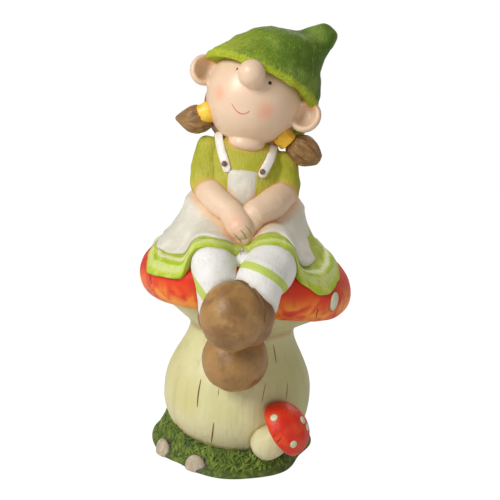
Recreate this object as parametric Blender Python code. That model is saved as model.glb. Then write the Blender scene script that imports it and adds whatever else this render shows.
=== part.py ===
# Garden gnome figurine: a girl in a green hat sitting on a toadstool with crossed feet.
# One painted casting, modelled as one closed solid. Metres, Z up, front towards -Y.
import math

import bmesh
import bpy
from mathutils import Matrix, Vector

for leftover in list(bpy.data.objects):
    bpy.data.objects.remove(leftover, do_unlink=True)

# Grass plinth
PLINTH_RADIUS = 0.099
PLINTH_EDGE = 0.007
GRASS_CLIMB = 0.022
BLADE_COUNT = 16
BLADE_DEPTH = 0.0024
STONE_RADIUS = 0.0130

# Toadstool stem
STEM_FOOT_RADIUS = 0.052
STEM_BELLY_RADIUS = 0.0875
STEM_BELLY_HEIGHT = 0.064
STEM_NECK_RADIUS = 0.061
STEM_NECK_HEIGHT = 0.152
STEM_FULLNESS = 1.35

# Toadstool cap, in heights above the neck of the stem
CAP_RADIUS = 0.1245
CAP_RIM_RISE = 0.063
CAP_CROWN = 0.043
CAP_LIP_DROP = 0.031
CAP_WAVE = 0.012
CAP_TILT = 0.0055
CAP_LIP_WIDTH = 0.20
CAP_SQUARENESS = 2.1
SPOT_RADIUS = 0.0085
SPOT_HEIGHT = 0.0018

# Small toadstool beside the stem
SMALL_CAP_RADIUS = 0.031
SMALL_CAP_CROWN = 0.027
SMALL_STEM_RADIUS = 0.019
SMALL_STEM_LENGTH = 0.048
SMALL_LEAN = 50.0
SMALL_PLACE_ANGLE = -64.5
SMALL_ROOT_HEIGHT = 0.042

# Seated body, in heights above the seat on the cap
BODY_SHIFT = -0.008
WAIST_RISE = 0.040
CHEST_RISE = 0.074
SHOULDER_RISE = 0.096
COLLAR_RISE = 0.112
WAIST_HALF_WIDTH = 0.0665
CHEST_HALF_WIDTH = 0.047
CHEST_HALF_DEPTH = 0.038
SHOULDER_SLOPE = 7.0

# Skirt with its apron layer
APRON_THICKNESS = 0.0030
HEM_THICKNESS = 0.0050
CLOTH_OVER_CAP = 0.0030
THIGH_SHOULDER = 1.24
FRILL_WELT = 0.0030

# Arms
SLEEVE_RADIUS = 0.0200
UPPER_ARM_LENGTH = 0.041
FOREARM_RADIUS = 0.0160
WRIST_RADIUS = 0.0140
HAND_RADIUS = 0.0155
FINGER_RADIUS = 0.0048
FINGER_LENGTH = 0.019

# Legs and shoes
THIGH_RADIUS = 0.0225
SHIN_RADIUS = 0.0220
UPPER_LEG_SHARE = 1.19
ANKLE_RADIUS = 0.0180
KNEE_SPREAD = 0.0325
TOE_RADIUS = 0.0313
TOE_HEIGHT = 0.0365
LOWER_TOE_DROP = 0.1175
UPPER_TOE_DROP = 0.0545

# Head, with ears, nose and hair
HEAD_RADIUS = 0.054
HEAD_TALL = 0.058
HEAD_TILT = 20.0
HEAD_TIP_BACK = 20.0
HEAD_TURN = -8.0
CHIN_GAP = 0.101
NOSE_RADIUS = 0.0150
EAR_RADIUS = 0.0178
EAR_THICKNESS = 0.0085
CONCHA_RADIUS = 0.0105
PIGTAIL_LENGTH = 0.0395
PIGTAIL_RADIUS = 0.0162
TIE_RADIUS = 0.0105

# Hat
HAT_CLEARANCE = 0.011
HAT_HEIGHT = 0.083
HAT_PEAK_RISE = 0.021
HAT_PEAK_SHIFT = 0.043
BEHIND_FLARE = 0.22
BRIM_SLOPE = 0.0235
BRIM_LEVEL = 0.0110
BRIM_ROLL = 0.0050
BRIM_BEHIND = 0.0400
BRIM_LEFT_FLARE = 0.085
BRIM_LEFT_RISE = 0.0050

# Straps and buttons
STRAP_HALF_WIDTH = 0.0052
STRAP_THICKNESS = 0.0036
BUTTON_RADIUS = 0.0032

# Painted colour of the whole casting, its roughness and metallic value
CASTING_COLOUR = (0.62, 0.60, 0.38, 1.0)
CASTING_ROUGHNESS = 0.55

# Points closer than this are one point in the finished casting
SLIVER = 0.000002

# Number of triangles that the finished casting is thinned out to
FACETS = 11800

# Places that follow from the sizes above
NECK_Z = STEM_NECK_HEIGHT
RIM_Z = NECK_Z + CAP_RIM_RISE
SEAT_Z = RIM_Z + CAP_CROWN
WAIST_Z = SEAT_Z + WAIST_RISE
CHEST_Z = SEAT_Z + CHEST_RISE
SHOULDER_Z = SEAT_Z + SHOULDER_RISE
COLLAR_Z = SEAT_Z + COLLAR_RISE
HEAD_CENTRE = Vector((BODY_SHIFT + 0.002, 0.0, COLLAR_Z - 0.052 + CHIN_GAP))


def make_casting(name):
    """The painted casting's object, empty so far, with its material."""
    paint = bpy.data.materials.new("painted_casting")
    paint.use_nodes = True
    shader = paint.node_tree.nodes["Principled BSDF"]
    shader.inputs["Base Color"].default_value = CASTING_COLOUR
    shader.inputs["Roughness"].default_value = CASTING_ROUGHNESS
    shader.inputs["Metallic"].default_value = 0.0
    mesh = bpy.data.meshes.new(name)
    mesh.materials.append(paint)
    casting = bpy.data.objects.new(name, mesh)
    bpy.context.collection.objects.link(casting)
    return casting


def finish_form(bm):
    """Close up coinciding points and point all faces outwards."""
    bmesh.ops.remove_doubles(bm, verts=bm.verts, dist=1e-6)
    bmesh.ops.recalc_face_normals(bm, faces=bm.faces)
    return bm


def loft(rings):
    """Skin through a stack of closed rings, each drawn from the ring before by an extrusion."""
    bm = bmesh.new()
    count = len(rings[0])
    loop = bmesh.ops.create_circle(bm, segments=count, radius=1.0)["verts"]
    for vert, place in zip(loop, rings[0]):
        vert.co = place
    first = loop
    for ring in rings[1:]:
        edges = [loop[k].link_edges for k in range(count)]
        edges = {edge for group in edges for edge in group if edge.other_vert is not None}
        along = [edge for edge in edges if edge.verts[0] in loop and edge.verts[1] in loop]
        grown = bmesh.ops.extrude_edge_only(bm, edges=along)["geom"]
        fresh = {item for item in grown if isinstance(item, bmesh.types.BMVert)}
        following = []
        for vert, place in zip(loop, ring):
            partner = next(e.other_vert(vert) for e in vert.link_edges if e.other_vert(vert) in fresh)
            partner.co = place
            following.append(partner)
        loop = following
    for ending in (first, loop):
        if (ending[0].co - ending[count // 2].co).length > 1e-6:
            bmesh.ops.contextual_create(bm, geom=ending)
    return finish_form(bm)


def ring(centre, half_x, half_y, count, lift=lambda angle: 0.0):
    """A level ellipse of points; lift(angle) raises each one."""
    points = []
    for k in range(count):
        angle = 2.0 * math.pi * k / count
        x = centre[0] + half_x * math.cos(angle)
        y = centre[1] + half_y * math.sin(angle)
        points.append(Vector((x, y, centre[2] + lift(angle))))
    return points


def pole(place, count):
    """A ring drawn together to one point, which closes an end of a loft."""
    return [Vector(place)] * count


def ellipsoid(centre, radii, turn=Matrix.Identity(3), around=20, along=12):
    """A ball stretched along its own axes, then turned and placed."""
    bm = bmesh.new()
    shape = Matrix.Translation(centre) @ turn.to_4x4() @ Matrix.Diagonal((*radii, 1.0))
    bmesh.ops.create_uvsphere(bm, u_segments=around, v_segments=along, radius=1.0, matrix=shape)
    return finish_form(bm)


def limb(path, radii, count=16, flat=1.0, side=Vector((0.0, 0.0, 1.0)), core=None):
    """A bar along a path with rounded ends; flat thins it towards side, or away from a core."""
    path = [Vector(p) for p in path]
    stations = []
    for index, (place, radius) in enumerate(zip(path, radii)):
        before = path[max(index - 1, 0)]
        after = path[min(index + 1, len(path) - 1)]
        along = (after - before).normalized()
        if index == 0:
            stations += [(place - along * radius * math.sin(a), along, radius * math.cos(a))
                         for a in (1.45, 0.75)]
        stations.append((place, along, radius))
        if index == len(path) - 1:
            stations += [(place + along * radius * math.sin(a), along, radius * math.cos(a))
                         for a in (0.75, 1.45)]
    rings = []
    for place, along, radius in stations:
        facing = side if core is None else place - core
        across = along.cross(facing).normalized()
        upward = across.cross(along)
        steps = [2.0 * math.pi * k / count for k in range(count)]
        rings.append([place + across * math.cos(a) * radius + upward * math.sin(a) * radius * flat
                      for a in steps])
    return loft(rings)


def turn_by(tip=0.0, tilt=0.0, spin=0.0):
    """Rotation in degrees: tipped about X first, then tilted about Y, then spun about Z."""
    about_x = Matrix.Rotation(math.radians(tip), 3, "X")
    about_y = Matrix.Rotation(math.radians(tilt), 3, "Y")
    about_z = Matrix.Rotation(math.radians(spin), 3, "Z")
    return about_z @ about_y @ about_x


HEAD_TURNED = turn_by(tilt=HEAD_TILT) @ turn_by(tip=-HEAD_TIP_BACK) @ turn_by(spin=HEAD_TURN)
HAT_TURNED = turn_by(tilt=HEAD_TILT)


def on_head(x, y, z):
    """A place given in the head's own directions."""
    return HEAD_CENTRE + HEAD_TURNED @ Vector((x, y, z))


def along_head(azimuth, height, reach):
    """A place on the head's skin, at an angle round it and a height angle, in degrees."""
    level = math.cos(math.radians(height))
    x = HEAD_RADIUS * level * math.sin(math.radians(azimuth))
    y = -HEAD_RADIUS * level * math.cos(math.radians(azimuth))
    z = HEAD_TALL * math.sin(math.radians(height))
    return on_head(x * reach, y * reach, z * reach)


def stem_radius(z):
    """The stem bellies out from its foot and narrows to the neck under the cap."""
    if z < STEM_BELLY_HEIGHT:
        swell = math.sin(0.5 * math.pi * max(z, 0.0) / STEM_BELLY_HEIGHT) ** 0.8
        return STEM_FOOT_RADIUS + (STEM_BELLY_RADIUS - STEM_FOOT_RADIUS) * swell
    share = min((z - STEM_BELLY_HEIGHT) / (STEM_NECK_HEIGHT - STEM_BELLY_HEIGHT), 1.0)
    narrowing = 0.5 + 0.5 * math.cos(math.pi * share ** STEM_FULLNESS)
    return STEM_NECK_RADIUS + (STEM_BELLY_RADIUS - STEM_NECK_RADIUS) * narrowing


def cap_top(x, y):
    """Height of the cap's upper skin over a place."""
    reach = min(math.hypot(x, y) / CAP_RADIUS, 0.995)
    dome = CAP_CROWN * (1.0 - reach ** CAP_SQUARENESS) ** (1.0 / CAP_SQUARENESS)
    return RIM_Z + dome + cap_wave(math.atan2(y, x), reach)


def cap_wave(angle, reach):
    """The rim hangs lower at the two sides and behind than in front, and leans to the right."""
    side = math.sin(angle)
    wave = CAP_WAVE * (0.7 - 0.3 * min(side, 0.0) - 1.1 * max(side, 0.0)) * math.cos(2.0 * angle)
    return -wave * reach ** 3 - CAP_TILT * math.cos(angle) * reach


def thigh_top(x, y):
    """Height of the thighs' skin over a place, sloping off beside them."""
    highest = 0.0
    for side in (-1.0, 1.0):
        hip = hip_place(side)
        way = knee(side) - hip
        passed = ((x - hip.x) * way.x + (y - hip.y) * way.y) / (way.x ** 2 + way.y ** 2)
        nearest = hip + way * min(max(passed, 0.0), 1.0)
        beside = math.hypot(x - nearest.x, y - nearest.y) / (THIGH_RADIUS * THIGH_SHOULDER)
        if beside < 1.0:
            girth = THIGH_RADIUS * (UPPER_LEG_SHARE if side > 0.0 and passed > 0.5 else 1.0)
            highest = max(highest, nearest.z + girth * math.sqrt(1.0 - beside ** 2))
    return highest


def make_plinth():
    """Grass mound: a round foot with blades combed up towards the stem."""
    count = BLADE_COUNT * 3
    rings = [pole((0.0, 0.0, 0.0), count)]
    stations = ((0.985, 0.0), (1.0, 0.35), (0.95, 1.0))
    foot = STEM_BELLY_RADIUS * 0.90

    def bump(angle, middle, width):
        away = (math.degrees(angle) - middle + 180.0) % 360.0 - 180.0
        return math.exp(-(away / width) ** 2)

    def uneven(angle):
        front = 0.070 * bump(angle, -95.0, 18.0)
        between_stones = -0.045 * bump(angle, -128.0, 9.0)
        right = -0.13 * bump(angle, -22.0, 24.0)
        return 1.0 + front + between_stones + right + 0.01 * math.sin(5.0 * angle)

    def blade(angle, share):
        return BLADE_DEPTH * (abs(math.sin(0.5 * BLADE_COUNT * angle + 2.0 * share)) - 0.4)

    for reach, rise in stations:
        rings.append([Vector((PLINTH_RADIUS * reach * uneven(a) * math.cos(a),
                              PLINTH_RADIUS * reach * uneven(a) * math.sin(a),
                              rise * (PLINTH_EDGE + blade(a, 0.0) * 0.5)))
                      for a in (2.0 * math.pi * k / count for k in range(count))])
    for step in range(1, 4):
        share = step / 3.0
        radius = PLINTH_RADIUS * 0.95 + (foot - PLINTH_RADIUS * 0.95) * share
        points = []
        for k in range(count):
            angle = 2.0 * math.pi * k / count
            climb = GRASS_CLIMB * (1.0 + 0.95 * bump(angle, 178.0, 42.0) + 0.3 * bump(angle, 20.0, 40.0))
            height = PLINTH_EDGE + (climb - PLINTH_EDGE) * share ** 1.2 + blade(angle, share)
            width = radius * (1.0 + (uneven(angle) - 1.0) * (1.0 - share))
            points.append(Vector((width * math.cos(angle), width * math.sin(angle), height)))
        rings.append(points)
    rings.append(pole((0.0, 0.0, GRASS_CLIMB), count))
    return loft(rings)


def make_stones():
    """Two beach stones half sunk in the edge of the grass."""
    stones = []
    for angle in (-146.0, -113.0):
        reach = PLINTH_RADIUS - 0.30 * STONE_RADIUS
        x = reach * math.cos(math.radians(angle))
        y = reach * math.sin(math.radians(angle))
        radii = (STONE_RADIUS, STONE_RADIUS * 0.55, STONE_RADIUS * 1.15)
        stone = ellipsoid((x, y, PLINTH_EDGE * 0.5), radii, turn_by(spin=angle + 90.0), 16, 8)
        level = Vector((0.0, 0.0, 0.0))
        cut = bmesh.ops.bisect_plane(stone, geom=stone.verts[:] + stone.edges[:] + stone.faces[:],
                                     plane_co=level, plane_no=(0.0, 0.0, -1.0), clear_outer=True)
        rim = [item for item in cut["geom_cut"] if isinstance(item, bmesh.types.BMEdge)]
        bmesh.ops.edgeloop_fill(stone, edges=rim)
        stones.append(finish_form(stone))
    return stones


def make_stem():
    """Round stem spun from its outline, sunk into the plinth and the cap."""
    bm = bmesh.new()
    heights = [0.002, 0.02, 0.036, 0.05, 0.064, 0.08, 0.096, 0.112, 0.126, 0.14]
    heights = [h / 0.152 * STEM_NECK_HEIGHT for h in heights] + [STEM_NECK_HEIGHT + 0.03]
    outline = [Vector((0.0, 0.0, heights[0]))]
    outline += [Vector((stem_radius(h), 0.0, h)) for h in heights]
    outline += [Vector((0.0, 0.0, heights[-1]))]
    verts = [bm.verts.new(place) for place in outline]
    edges = [bm.edges.new(pair) for pair in zip(verts, verts[1:])]
    bmesh.ops.spin(bm, geom=verts + edges, axis=(0.0, 0.0, 1.0), cent=(0.0, 0.0, 0.0),
                   angle=2.0 * math.pi, steps=30, use_merge=False)
    return finish_form(bm)


def make_cap():
    """Toadstool cap: a low dome, a rolled lip and a hollowed funnel down to the stem."""
    count = 36
    power = 2.0 / CAP_SQUARENESS
    outline = []
    for step in range(1, 7):
        angle = 0.5 * math.pi * step / 6.0
        outline.append((math.sin(angle) ** power, CAP_RIM_RISE + CAP_CROWN * math.cos(angle) ** power))
    for step in range(1, 5):
        angle = 0.5 * math.pi * step / 4.0
        width = 1.0 - CAP_LIP_WIDTH * (1.0 - math.cos(angle))
        outline.append((width, CAP_RIM_RISE - CAP_LIP_DROP * math.sin(angle)))
    rings = [pole((0.0, 0.0, SEAT_Z), count)]
    for reach, rise in outline:
        radius = CAP_RADIUS * reach
        rings.append(ring((0.0, 0.0, NECK_Z + rise), radius, radius, count,
                          lambda angle, reach=reach: cap_wave(angle, reach)))
    radius = STEM_NECK_RADIUS + 0.004
    rings.append(ring((0.0, 0.0, NECK_Z + 0.006), radius, radius, count))
    rings.append(ring((0.0, 0.0, NECK_Z - 0.004), radius * 0.8, radius * 0.8, count))
    rings.append(pole((0.0, 0.0, NECK_Z), count))
    return loft(rings)


def make_spots():
    """Raised oval spots round the cap's rim."""
    spots = []
    for angle in (-24.0, 42.0, 98.0, 155.0):
        a = math.radians(angle)
        reach = CAP_RADIUS * 0.965
        place = Vector((reach * math.cos(a), reach * math.sin(a), RIM_Z + 0.012))
        place.z += cap_wave(a, 0.965)
        radii = (SPOT_RADIUS, SPOT_HEIGHT + 0.004, SPOT_RADIUS * 1.35)
        spots.append(ellipsoid(place, radii, turn_by(tip=-38.0, spin=angle + 90.0), 12, 6))
    return spots


def make_small_toadstool():
    """Small leaning toadstool at the foot of the stem, with its own spots."""
    angle = math.radians(SMALL_PLACE_ANGLE)
    reach = stem_radius(SMALL_ROOT_HEIGHT) + 0.010
    root = Vector((reach * math.cos(angle), reach * math.sin(angle), SMALL_ROOT_HEIGHT))
    turn = turn_by(tilt=SMALL_LEAN) @ turn_by(tip=10.0)
    pieces = []

    def placed(profile, count):
        rings = [pole((0.0, 0.0, profile[0][1]), count)]
        rings += [ring((0.0, 0.0, z), r, r, count) for r, z in profile[1:-1]]
        rings.append(pole((0.0, 0.0, profile[-1][1]), count))
        form = loft(rings)
        bmesh.ops.transform(form, matrix=Matrix.Translation(root) @ turn.to_4x4(), verts=form.verts)
        return form

    foot = SMALL_STEM_RADIUS
    length = SMALL_STEM_LENGTH
    pieces.append(placed([(0, -foot), (foot * 0.7, -foot * 0.85), (foot, -foot * 0.15), (foot * 0.86, length * 0.5),
                          (foot * 0.7, length * 0.8), (0, length * 0.8)], 14))
    cap = SMALL_CAP_RADIUS
    base = length * 0.52
    arc = [(cap * math.cos(a), base + SMALL_CAP_CROWN * math.sin(a)) for a in (0.0, 0.35, 0.7, 1.05, 1.3)]
    pieces.append(placed([(0, base - 0.003), (cap * 0.62, base - 0.007), (cap * 0.9, base - 0.006)]
                         + arc + [(0, base + SMALL_CAP_CROWN)], 20))
    for azimuth, height in ((-150.0, 6.0), (-78.0, 18.0), (-126.0, 75.0), (-54.0, 72.0), (40.0, 35.0)):
        a = math.radians(azimuth)
        h = math.radians(height)
        spot = Vector((cap * math.cos(h) * math.cos(a), cap * math.cos(h) * math.sin(a),
                       base + SMALL_CAP_CROWN * math.sin(h)))
        pieces.append(ellipsoid(root + turn @ spot, (0.0042, 0.0042, 0.0042), turn, 10, 6))
    return pieces


# Hems: angle round the body, reach from its axis as a share of the cap's radius, and height
# over the cap's skin. The frill lies on the cap at the sides and behind, hangs over the rim
# beside the knees and climbs over each knee. The apron ends short of it.
FRILL_HEM = (
    (0.0, 0.82, 0.004), (40.0, 0.76, 0.005), (65.0, 0.72, 0.004), (90.0, 0.76, 0.005),
    (118.0, 0.72, 0.004), (148.0, 0.76, 0.005), (182.0, 0.80, 0.004), (199.0, 0.885, 0.005),
    (214.0, 0.965, 0.003), (234.0, 0.995, -0.006), (243.0, 0.985, -0.002), (249.0, 0.950, 0.008),
    (256.0, 0.943, 0.014), (273.0, 0.800, 0.0120), (288.5, 0.907, 0.018), (297.0, 0.950, 0.011),
    (303.0, 0.990, -0.008), (313.0, 1.040, -0.008), (322.0, 1.04, 0.001), (334.0, 0.995, 0.005),
    (350.0, 0.915, 0.008),
)
APRON_HEM = (
    (0.0, 0.70, 0.006), (45.0, 0.64, 0.008), (90.0, 0.62, 0.008), (135.0, 0.64, 0.008),
    (185.0, 0.76, 0.006), (204.0, 0.805, 0.006), (221.0, 0.790, 0.001), (230.0, 0.785, 0.003),
    (244.0, 0.765, 0.0150), (254.0, 0.790, 0.0200), (273.0, 0.660, 0.0090), (294.0, 0.690, 0.0250),
    (312.0, 0.835, 0.004),
    (333.0, 0.775, 0.004),
)


def hem_place(angle, table):
    """Reach and height of a hem at an angle, flowing smoothly from fold to fold."""
    degrees = math.degrees(angle) % 360.0
    for here, after in zip(table, table[1:] + table[:1]):
        span = (after[0] - here[0]) % 360.0
        passed = (degrees - here[0]) % 360.0
        if passed < span:
            share = passed / span
            ease = share * share * (3.0 - 2.0 * share)
            reach = CAP_RADIUS * (here[1] + (after[1] - here[1]) * ease)
            lift = here[2] + (after[2] - here[2]) * ease
            x = BODY_SHIFT + reach * math.cos(angle)
            y = reach * math.sin(angle)
            return reach, cap_top(x, y) + lift
    raise ValueError("angle outside the hem")


def make_dress_layer(table, thickness, welt):
    """One layer of the dress, from the waist down over the lap to its folded hem with a welt along it."""
    count = 48
    rings = [pole((BODY_SHIFT, 0.0, WAIST_Z + 0.024), count)]
    for share, up in ((0.55, 0.022), (0.80, 0.016), (0.94, 0.008)):
        rings.append(ring((BODY_SHIFT, 0.0, WAIST_Z + up), (WAIST_HALF_WIDTH + thickness) * share,
                          (CHEST_HALF_DEPTH + thickness) * share, count))
    for down in (0.0, 0.2, 0.4, 0.6, 0.76, 0.86, 0.94, 1.0):
        points = []
        for k in range(count):
            even = 2.0 * math.pi * k / count
            angle = even - 0.45 * math.cos(even)
            reach, hem_z = hem_place(angle, table)
            waist = math.hypot(WAIST_HALF_WIDTH * math.cos(angle), CHEST_HALF_DEPTH * math.sin(angle))
            front = max(0.0, -math.sin(angle)) ** 2
            away = (math.degrees(angle) - 273.0) / 11.0
            valley = math.exp(-away * away)
            flare = down ** (1.8 - 0.8 * abs(math.sin(angle)))
            drop = down ** (1.0 - 0.1 * front - 0.45 * valley)
            ridge = welt * math.exp(-((down - 0.86) / 0.07) ** 2)
            radius = waist + (reach - waist) * flare + thickness * (1.0 - 0.5 * down) + ridge * 0.4
            x = BODY_SHIFT + radius * math.cos(angle)
            y = radius * math.sin(angle)
            height = max(WAIST_Z + (hem_z - WAIST_Z) * drop + thickness * down,
                         max(cap_top(x, y), thigh_top(x, y)) + CLOTH_OVER_CAP + thickness)
            points.append(Vector((x, y, height + ridge)))
        rings.append(points)
    hem = rings[-1]
    under = []
    for place in hem:
        inward = Vector((BODY_SHIFT - place.x, -place.y, 0.0)).normalized()
        under.append(place + inward * 0.002 - Vector((0.0, 0.0, HEM_THICKNESS)))
    rings.append(under)
    tucked = []
    for place in under:
        x = BODY_SHIFT + (place.x - BODY_SHIFT) * 0.92
        y = place.y * 0.92
        tucked.append(Vector((x, y, min(place.z, cap_top(x, y)) - 0.004)))
    rings.append(tucked)
    rings.append([Vector((BODY_SHIFT + (p.x - BODY_SHIFT) * 0.6, p.y * 0.6, SEAT_Z - 0.016)) for p in hem])
    rings.append(pole((BODY_SHIFT, 0.0, SEAT_Z - 0.02), count))
    return loft(rings)


# Sections of the body: height, half width, half depth, share of the shoulders' slope
BODY_SECTIONS = (
    (SEAT_Z - 0.010, WAIST_HALF_WIDTH, 0.046, 0.0), (WAIST_Z, 0.055, 0.042, 0.0),
    (CHEST_Z, CHEST_HALF_WIDTH, CHEST_HALF_DEPTH, 0.3), (SHOULDER_Z - 0.008, 0.046, 0.035, 1.0),
    (SHOULDER_Z + 0.009, 0.037, 0.030, 1.2), (COLLAR_Z, 0.024, 0.022, 1.0),
)
SLOPE = math.tan(math.radians(SHOULDER_SLOPE))


def make_torso():
    """Chest and shoulders in the blouse, leaning down towards the right shoulder."""
    count = 22
    rings = [pole((BODY_SHIFT, 0.0, SEAT_Z - 0.012), count)]
    for z, half_x, half_y, share in BODY_SECTIONS:
        rings.append(ring((BODY_SHIFT, 0.0, z), half_x, half_y, count,
                          lambda a, w=half_x * share: -SLOPE * w * math.cos(a)))
    rings.append(pole((BODY_SHIFT, 0.0, COLLAR_Z + 0.002), count))
    return loft(rings)


def on_body(x, z, facing):
    """A place on the blouse's skin, x from the body's middle; facing is -1 in front, 1 behind."""
    for low, high in zip(BODY_SECTIONS, BODY_SECTIONS[1:]):
        if low[0] <= z <= high[0]:
            share = (z - low[0]) / (high[0] - low[0])
            half_x = low[1] + (high[1] - low[1]) * share
            half_y = low[2] + (high[2] - low[2]) * share
            slope = (low[3] + (high[3] - low[3]) * share) * SLOPE
            depth = half_y * math.sqrt(max(1.0 - (x / half_x) ** 2, 0.0))
            return Vector((BODY_SHIFT + x, facing * depth, z - slope * x))
    raise ValueError("height outside the body")


def arm_points(side):
    """Shoulder, elbow, wrist and knuckles of one arm; side is -1 for the image's left."""
    reach = CHEST_HALF_WIDTH - 0.005
    shoulder = Vector((BODY_SHIFT - 0.0015 + side * reach, 0.0, SHOULDER_Z - 0.005 - reach * side * SLOPE))
    elbow = shoulder + Vector((0.0, -0.012, -UPPER_ARM_LENGTH))
    wrist = Vector((BODY_SHIFT + side * 0.013, -CHEST_HALF_DEPTH - 0.021, WAIST_Z - 0.004))
    knuckles = Vector((BODY_SHIFT + side * 0.0025, -CHEST_HALF_DEPTH - 0.034, WAIST_Z - 0.017))
    return shoulder, elbow, wrist, knuckles


def make_arms():
    """Short sleeves, bare forearms and hands laid over each other in the lap."""
    pieces = []
    for side in (-1.0, 1.0):
        shoulder, elbow, wrist, knuckles = arm_points(side)
        middle = shoulder.lerp(elbow, 0.5) + Vector((side * 0.0015, 0.0, 0.0))
        pieces.append(limb([shoulder, middle, elbow], [SLEEVE_RADIUS * 0.86, SLEEVE_RADIUS, SLEEVE_RADIUS * 0.97],
                           14, side=Vector((1.0, 0.0, 0.0))))
        low_elbow = elbow + Vector((0.0, -0.003, -0.002))
        bent = low_elbow.lerp(wrist, 0.5) + Vector((side * 0.003, -0.004, 0.0))
        pieces.append(limb([low_elbow, bent, wrist], [FOREARM_RADIUS, FOREARM_RADIUS, WRIST_RADIUS], 12))
        drop = Vector((0.0, 0.004, -0.005)) if side > 0 else Vector((0.0, -0.004, 0.0))
        palm = knuckles + drop
        pieces.append(limb([wrist, palm], [WRIST_RADIUS, HAND_RADIUS], 12))
    palm = arm_points(-1.0)[3] + Vector((0.0, -0.006, 0.0))
    ahead = Vector((0.34, -0.50, -0.79)).normalized()
    across = ahead.cross(Vector((0.0, -1.0, 0.45))).normalized()
    for finger in range(4):
        root = palm + across * FINGER_RADIUS * 1.55 * (finger - 1.5)
        tip = root + ahead * (FINGER_LENGTH - 0.002 * abs(finger - 1.4))
        pieces.append(limb([root, tip], [FINGER_RADIUS, FINGER_RADIUS * 0.9], 7))
    return pieces


def hip_place(side):
    """Where one thigh leaves the body, under the dress."""
    return Vector((BODY_SHIFT + side * (KNEE_SPREAD - 0.005), -0.020, SEAT_Z + 0.004))


def knee(side):
    """Top of one bent leg, at the front of the cap."""
    return Vector((BODY_SHIFT + side * KNEE_SPREAD + 0.003, -CAP_RADIUS + 0.022, SEAT_Z - 0.013))


def toes(upper):
    """Middle of a shoe's toe ball; the upper shoe rests on the other leg's shin."""
    if upper:
        return Vector((BODY_SHIFT + 0.0005, -CAP_RADIUS - 0.024, SEAT_Z - UPPER_TOE_DROP))
    height = SEAT_Z - LOWER_TOE_DROP
    return Vector((BODY_SHIFT + 0.003, -stem_radius(height) - 0.036, height))


def make_legs():
    """Thighs under the skirt, and stockinged shins crossed at the ankles."""
    pieces = []
    for side, upper in ((-1.0, False), (1.0, True)):
        hip = hip_place(side)
        top = knee(side)
        ball = toes(upper)
        if upper:
            ankle = ball + Vector((0.021, 0.016, 0.012))
        else:
            ankle = ball + Vector((-0.022, 0.000, 0.046))
        share = UPPER_LEG_SHARE if upper else 1.0
        bend = top.lerp(ankle, 0.35) + Vector((-0.004 if upper else 0.0, -0.012, 0.0))
        pieces.append(limb([hip, top], [THIGH_RADIUS, SHIN_RADIUS * 1.02 * share], 16))
        shin = [radius * share for radius in (SHIN_RADIUS * 1.02, SHIN_RADIUS, ANKLE_RADIUS)]
        pieces.append(limb([top, bend, ankle], shin, 16, side=Vector((1.0, 0.0, 0.0))))
    return pieces


def make_shoes():
    """Round-toed shoes, each with a padded collar at the ankle."""
    lower = toes(False)
    upper = toes(True)
    heel = Vector((lower.x - 0.004, -stem_radius(lower.z) - 0.004, lower.z + 0.006))
    lower_radii = (TOE_RADIUS * 1.16, TOE_RADIUS * 1.22, TOE_HEIGHT * 0.97)
    upper_radii = (TOE_RADIUS, TOE_RADIUS * 1.02, TOE_HEIGHT)
    heel_radii = (TOE_RADIUS * 0.86, TOE_RADIUS * 0.90, TOE_HEIGHT * 0.80)
    upper_collar = upper + Vector((0.0120, 0.011, 0.002))
    upper_collar_radii = (TOE_RADIUS * 0.92, TOE_RADIUS * 0.86, TOE_HEIGHT * 0.99)
    lower_collar = lower + Vector((-0.0190, 0.003, 0.045))
    lower_collar_radii = (TOE_RADIUS * 0.78, TOE_RADIUS * 0.84, TOE_HEIGHT * 0.62)
    return [
        ellipsoid(lower, lower_radii, turn_by(), 20, 12),
        ellipsoid(heel, heel_radii, turn_by(), 14, 8),
        ellipsoid(upper, upper_radii, turn_by(), 22, 12),
        ellipsoid(upper_collar, upper_collar_radii, turn_by(tilt=-12.0), 18, 10),
        ellipsoid(lower_collar, lower_collar_radii, turn_by(tilt=10.0), 14, 8),
    ]


def make_head():
    """Round face looking up, with a ball nose, a soft double chin and the neck."""
    chin = Vector((BODY_SHIFT - 0.003, -0.020, COLLAR_Z - 0.003))
    neck = Vector((BODY_SHIFT, 0.0, SHOULDER_Z))
    throat = HEAD_CENTRE - Vector((0.0, 0.0, 0.02))
    return [
        ellipsoid(HEAD_CENTRE, (HEAD_RADIUS, HEAD_RADIUS, HEAD_TALL), HEAD_TURNED, 26, 16),
        ellipsoid(along_head(-4.5, 2.0, 1.12), (NOSE_RADIUS,) * 3, HEAD_TURNED, 16, 10),
        ellipsoid(chin, (0.0205, 0.017, 0.0105), turn_by(tilt=5.0), 16, 8),
        limb([neck, throat], [0.022, 0.026], 16, side=Vector((1.0, 0.0, 0.0))),
    ]


def make_ears():
    """Big round ears, each with a hollow scooped out of its front."""
    ears = []
    for side, size, drop in ((-1.0, 1.0, 0.001), (1.0, 1.08, -0.004)):
        radius = EAR_RADIUS * size
        place = on_head(side * (HEAD_RADIUS + EAR_RADIUS * 0.48), -0.010, drop)
        turn = HEAD_TURNED @ turn_by(spin=side * 22.0)
        ear = ellipsoid(place, (radius * 0.94, EAR_THICKNESS, radius), turn, 16, 10)
        scoop = place + turn @ Vector((-side * 0.001, -EAR_THICKNESS * 1.02, 0.0))
        hollow_radii = (CONCHA_RADIUS * 0.84 * size, EAR_THICKNESS * 0.90, CONCHA_RADIUS * 1.10 * size)
        hollow = ellipsoid(scoop, hollow_radii, turn, 12, 8)
        ears.append(shaped(ear, hollow, "DIFFERENCE"))
    return ears


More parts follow.
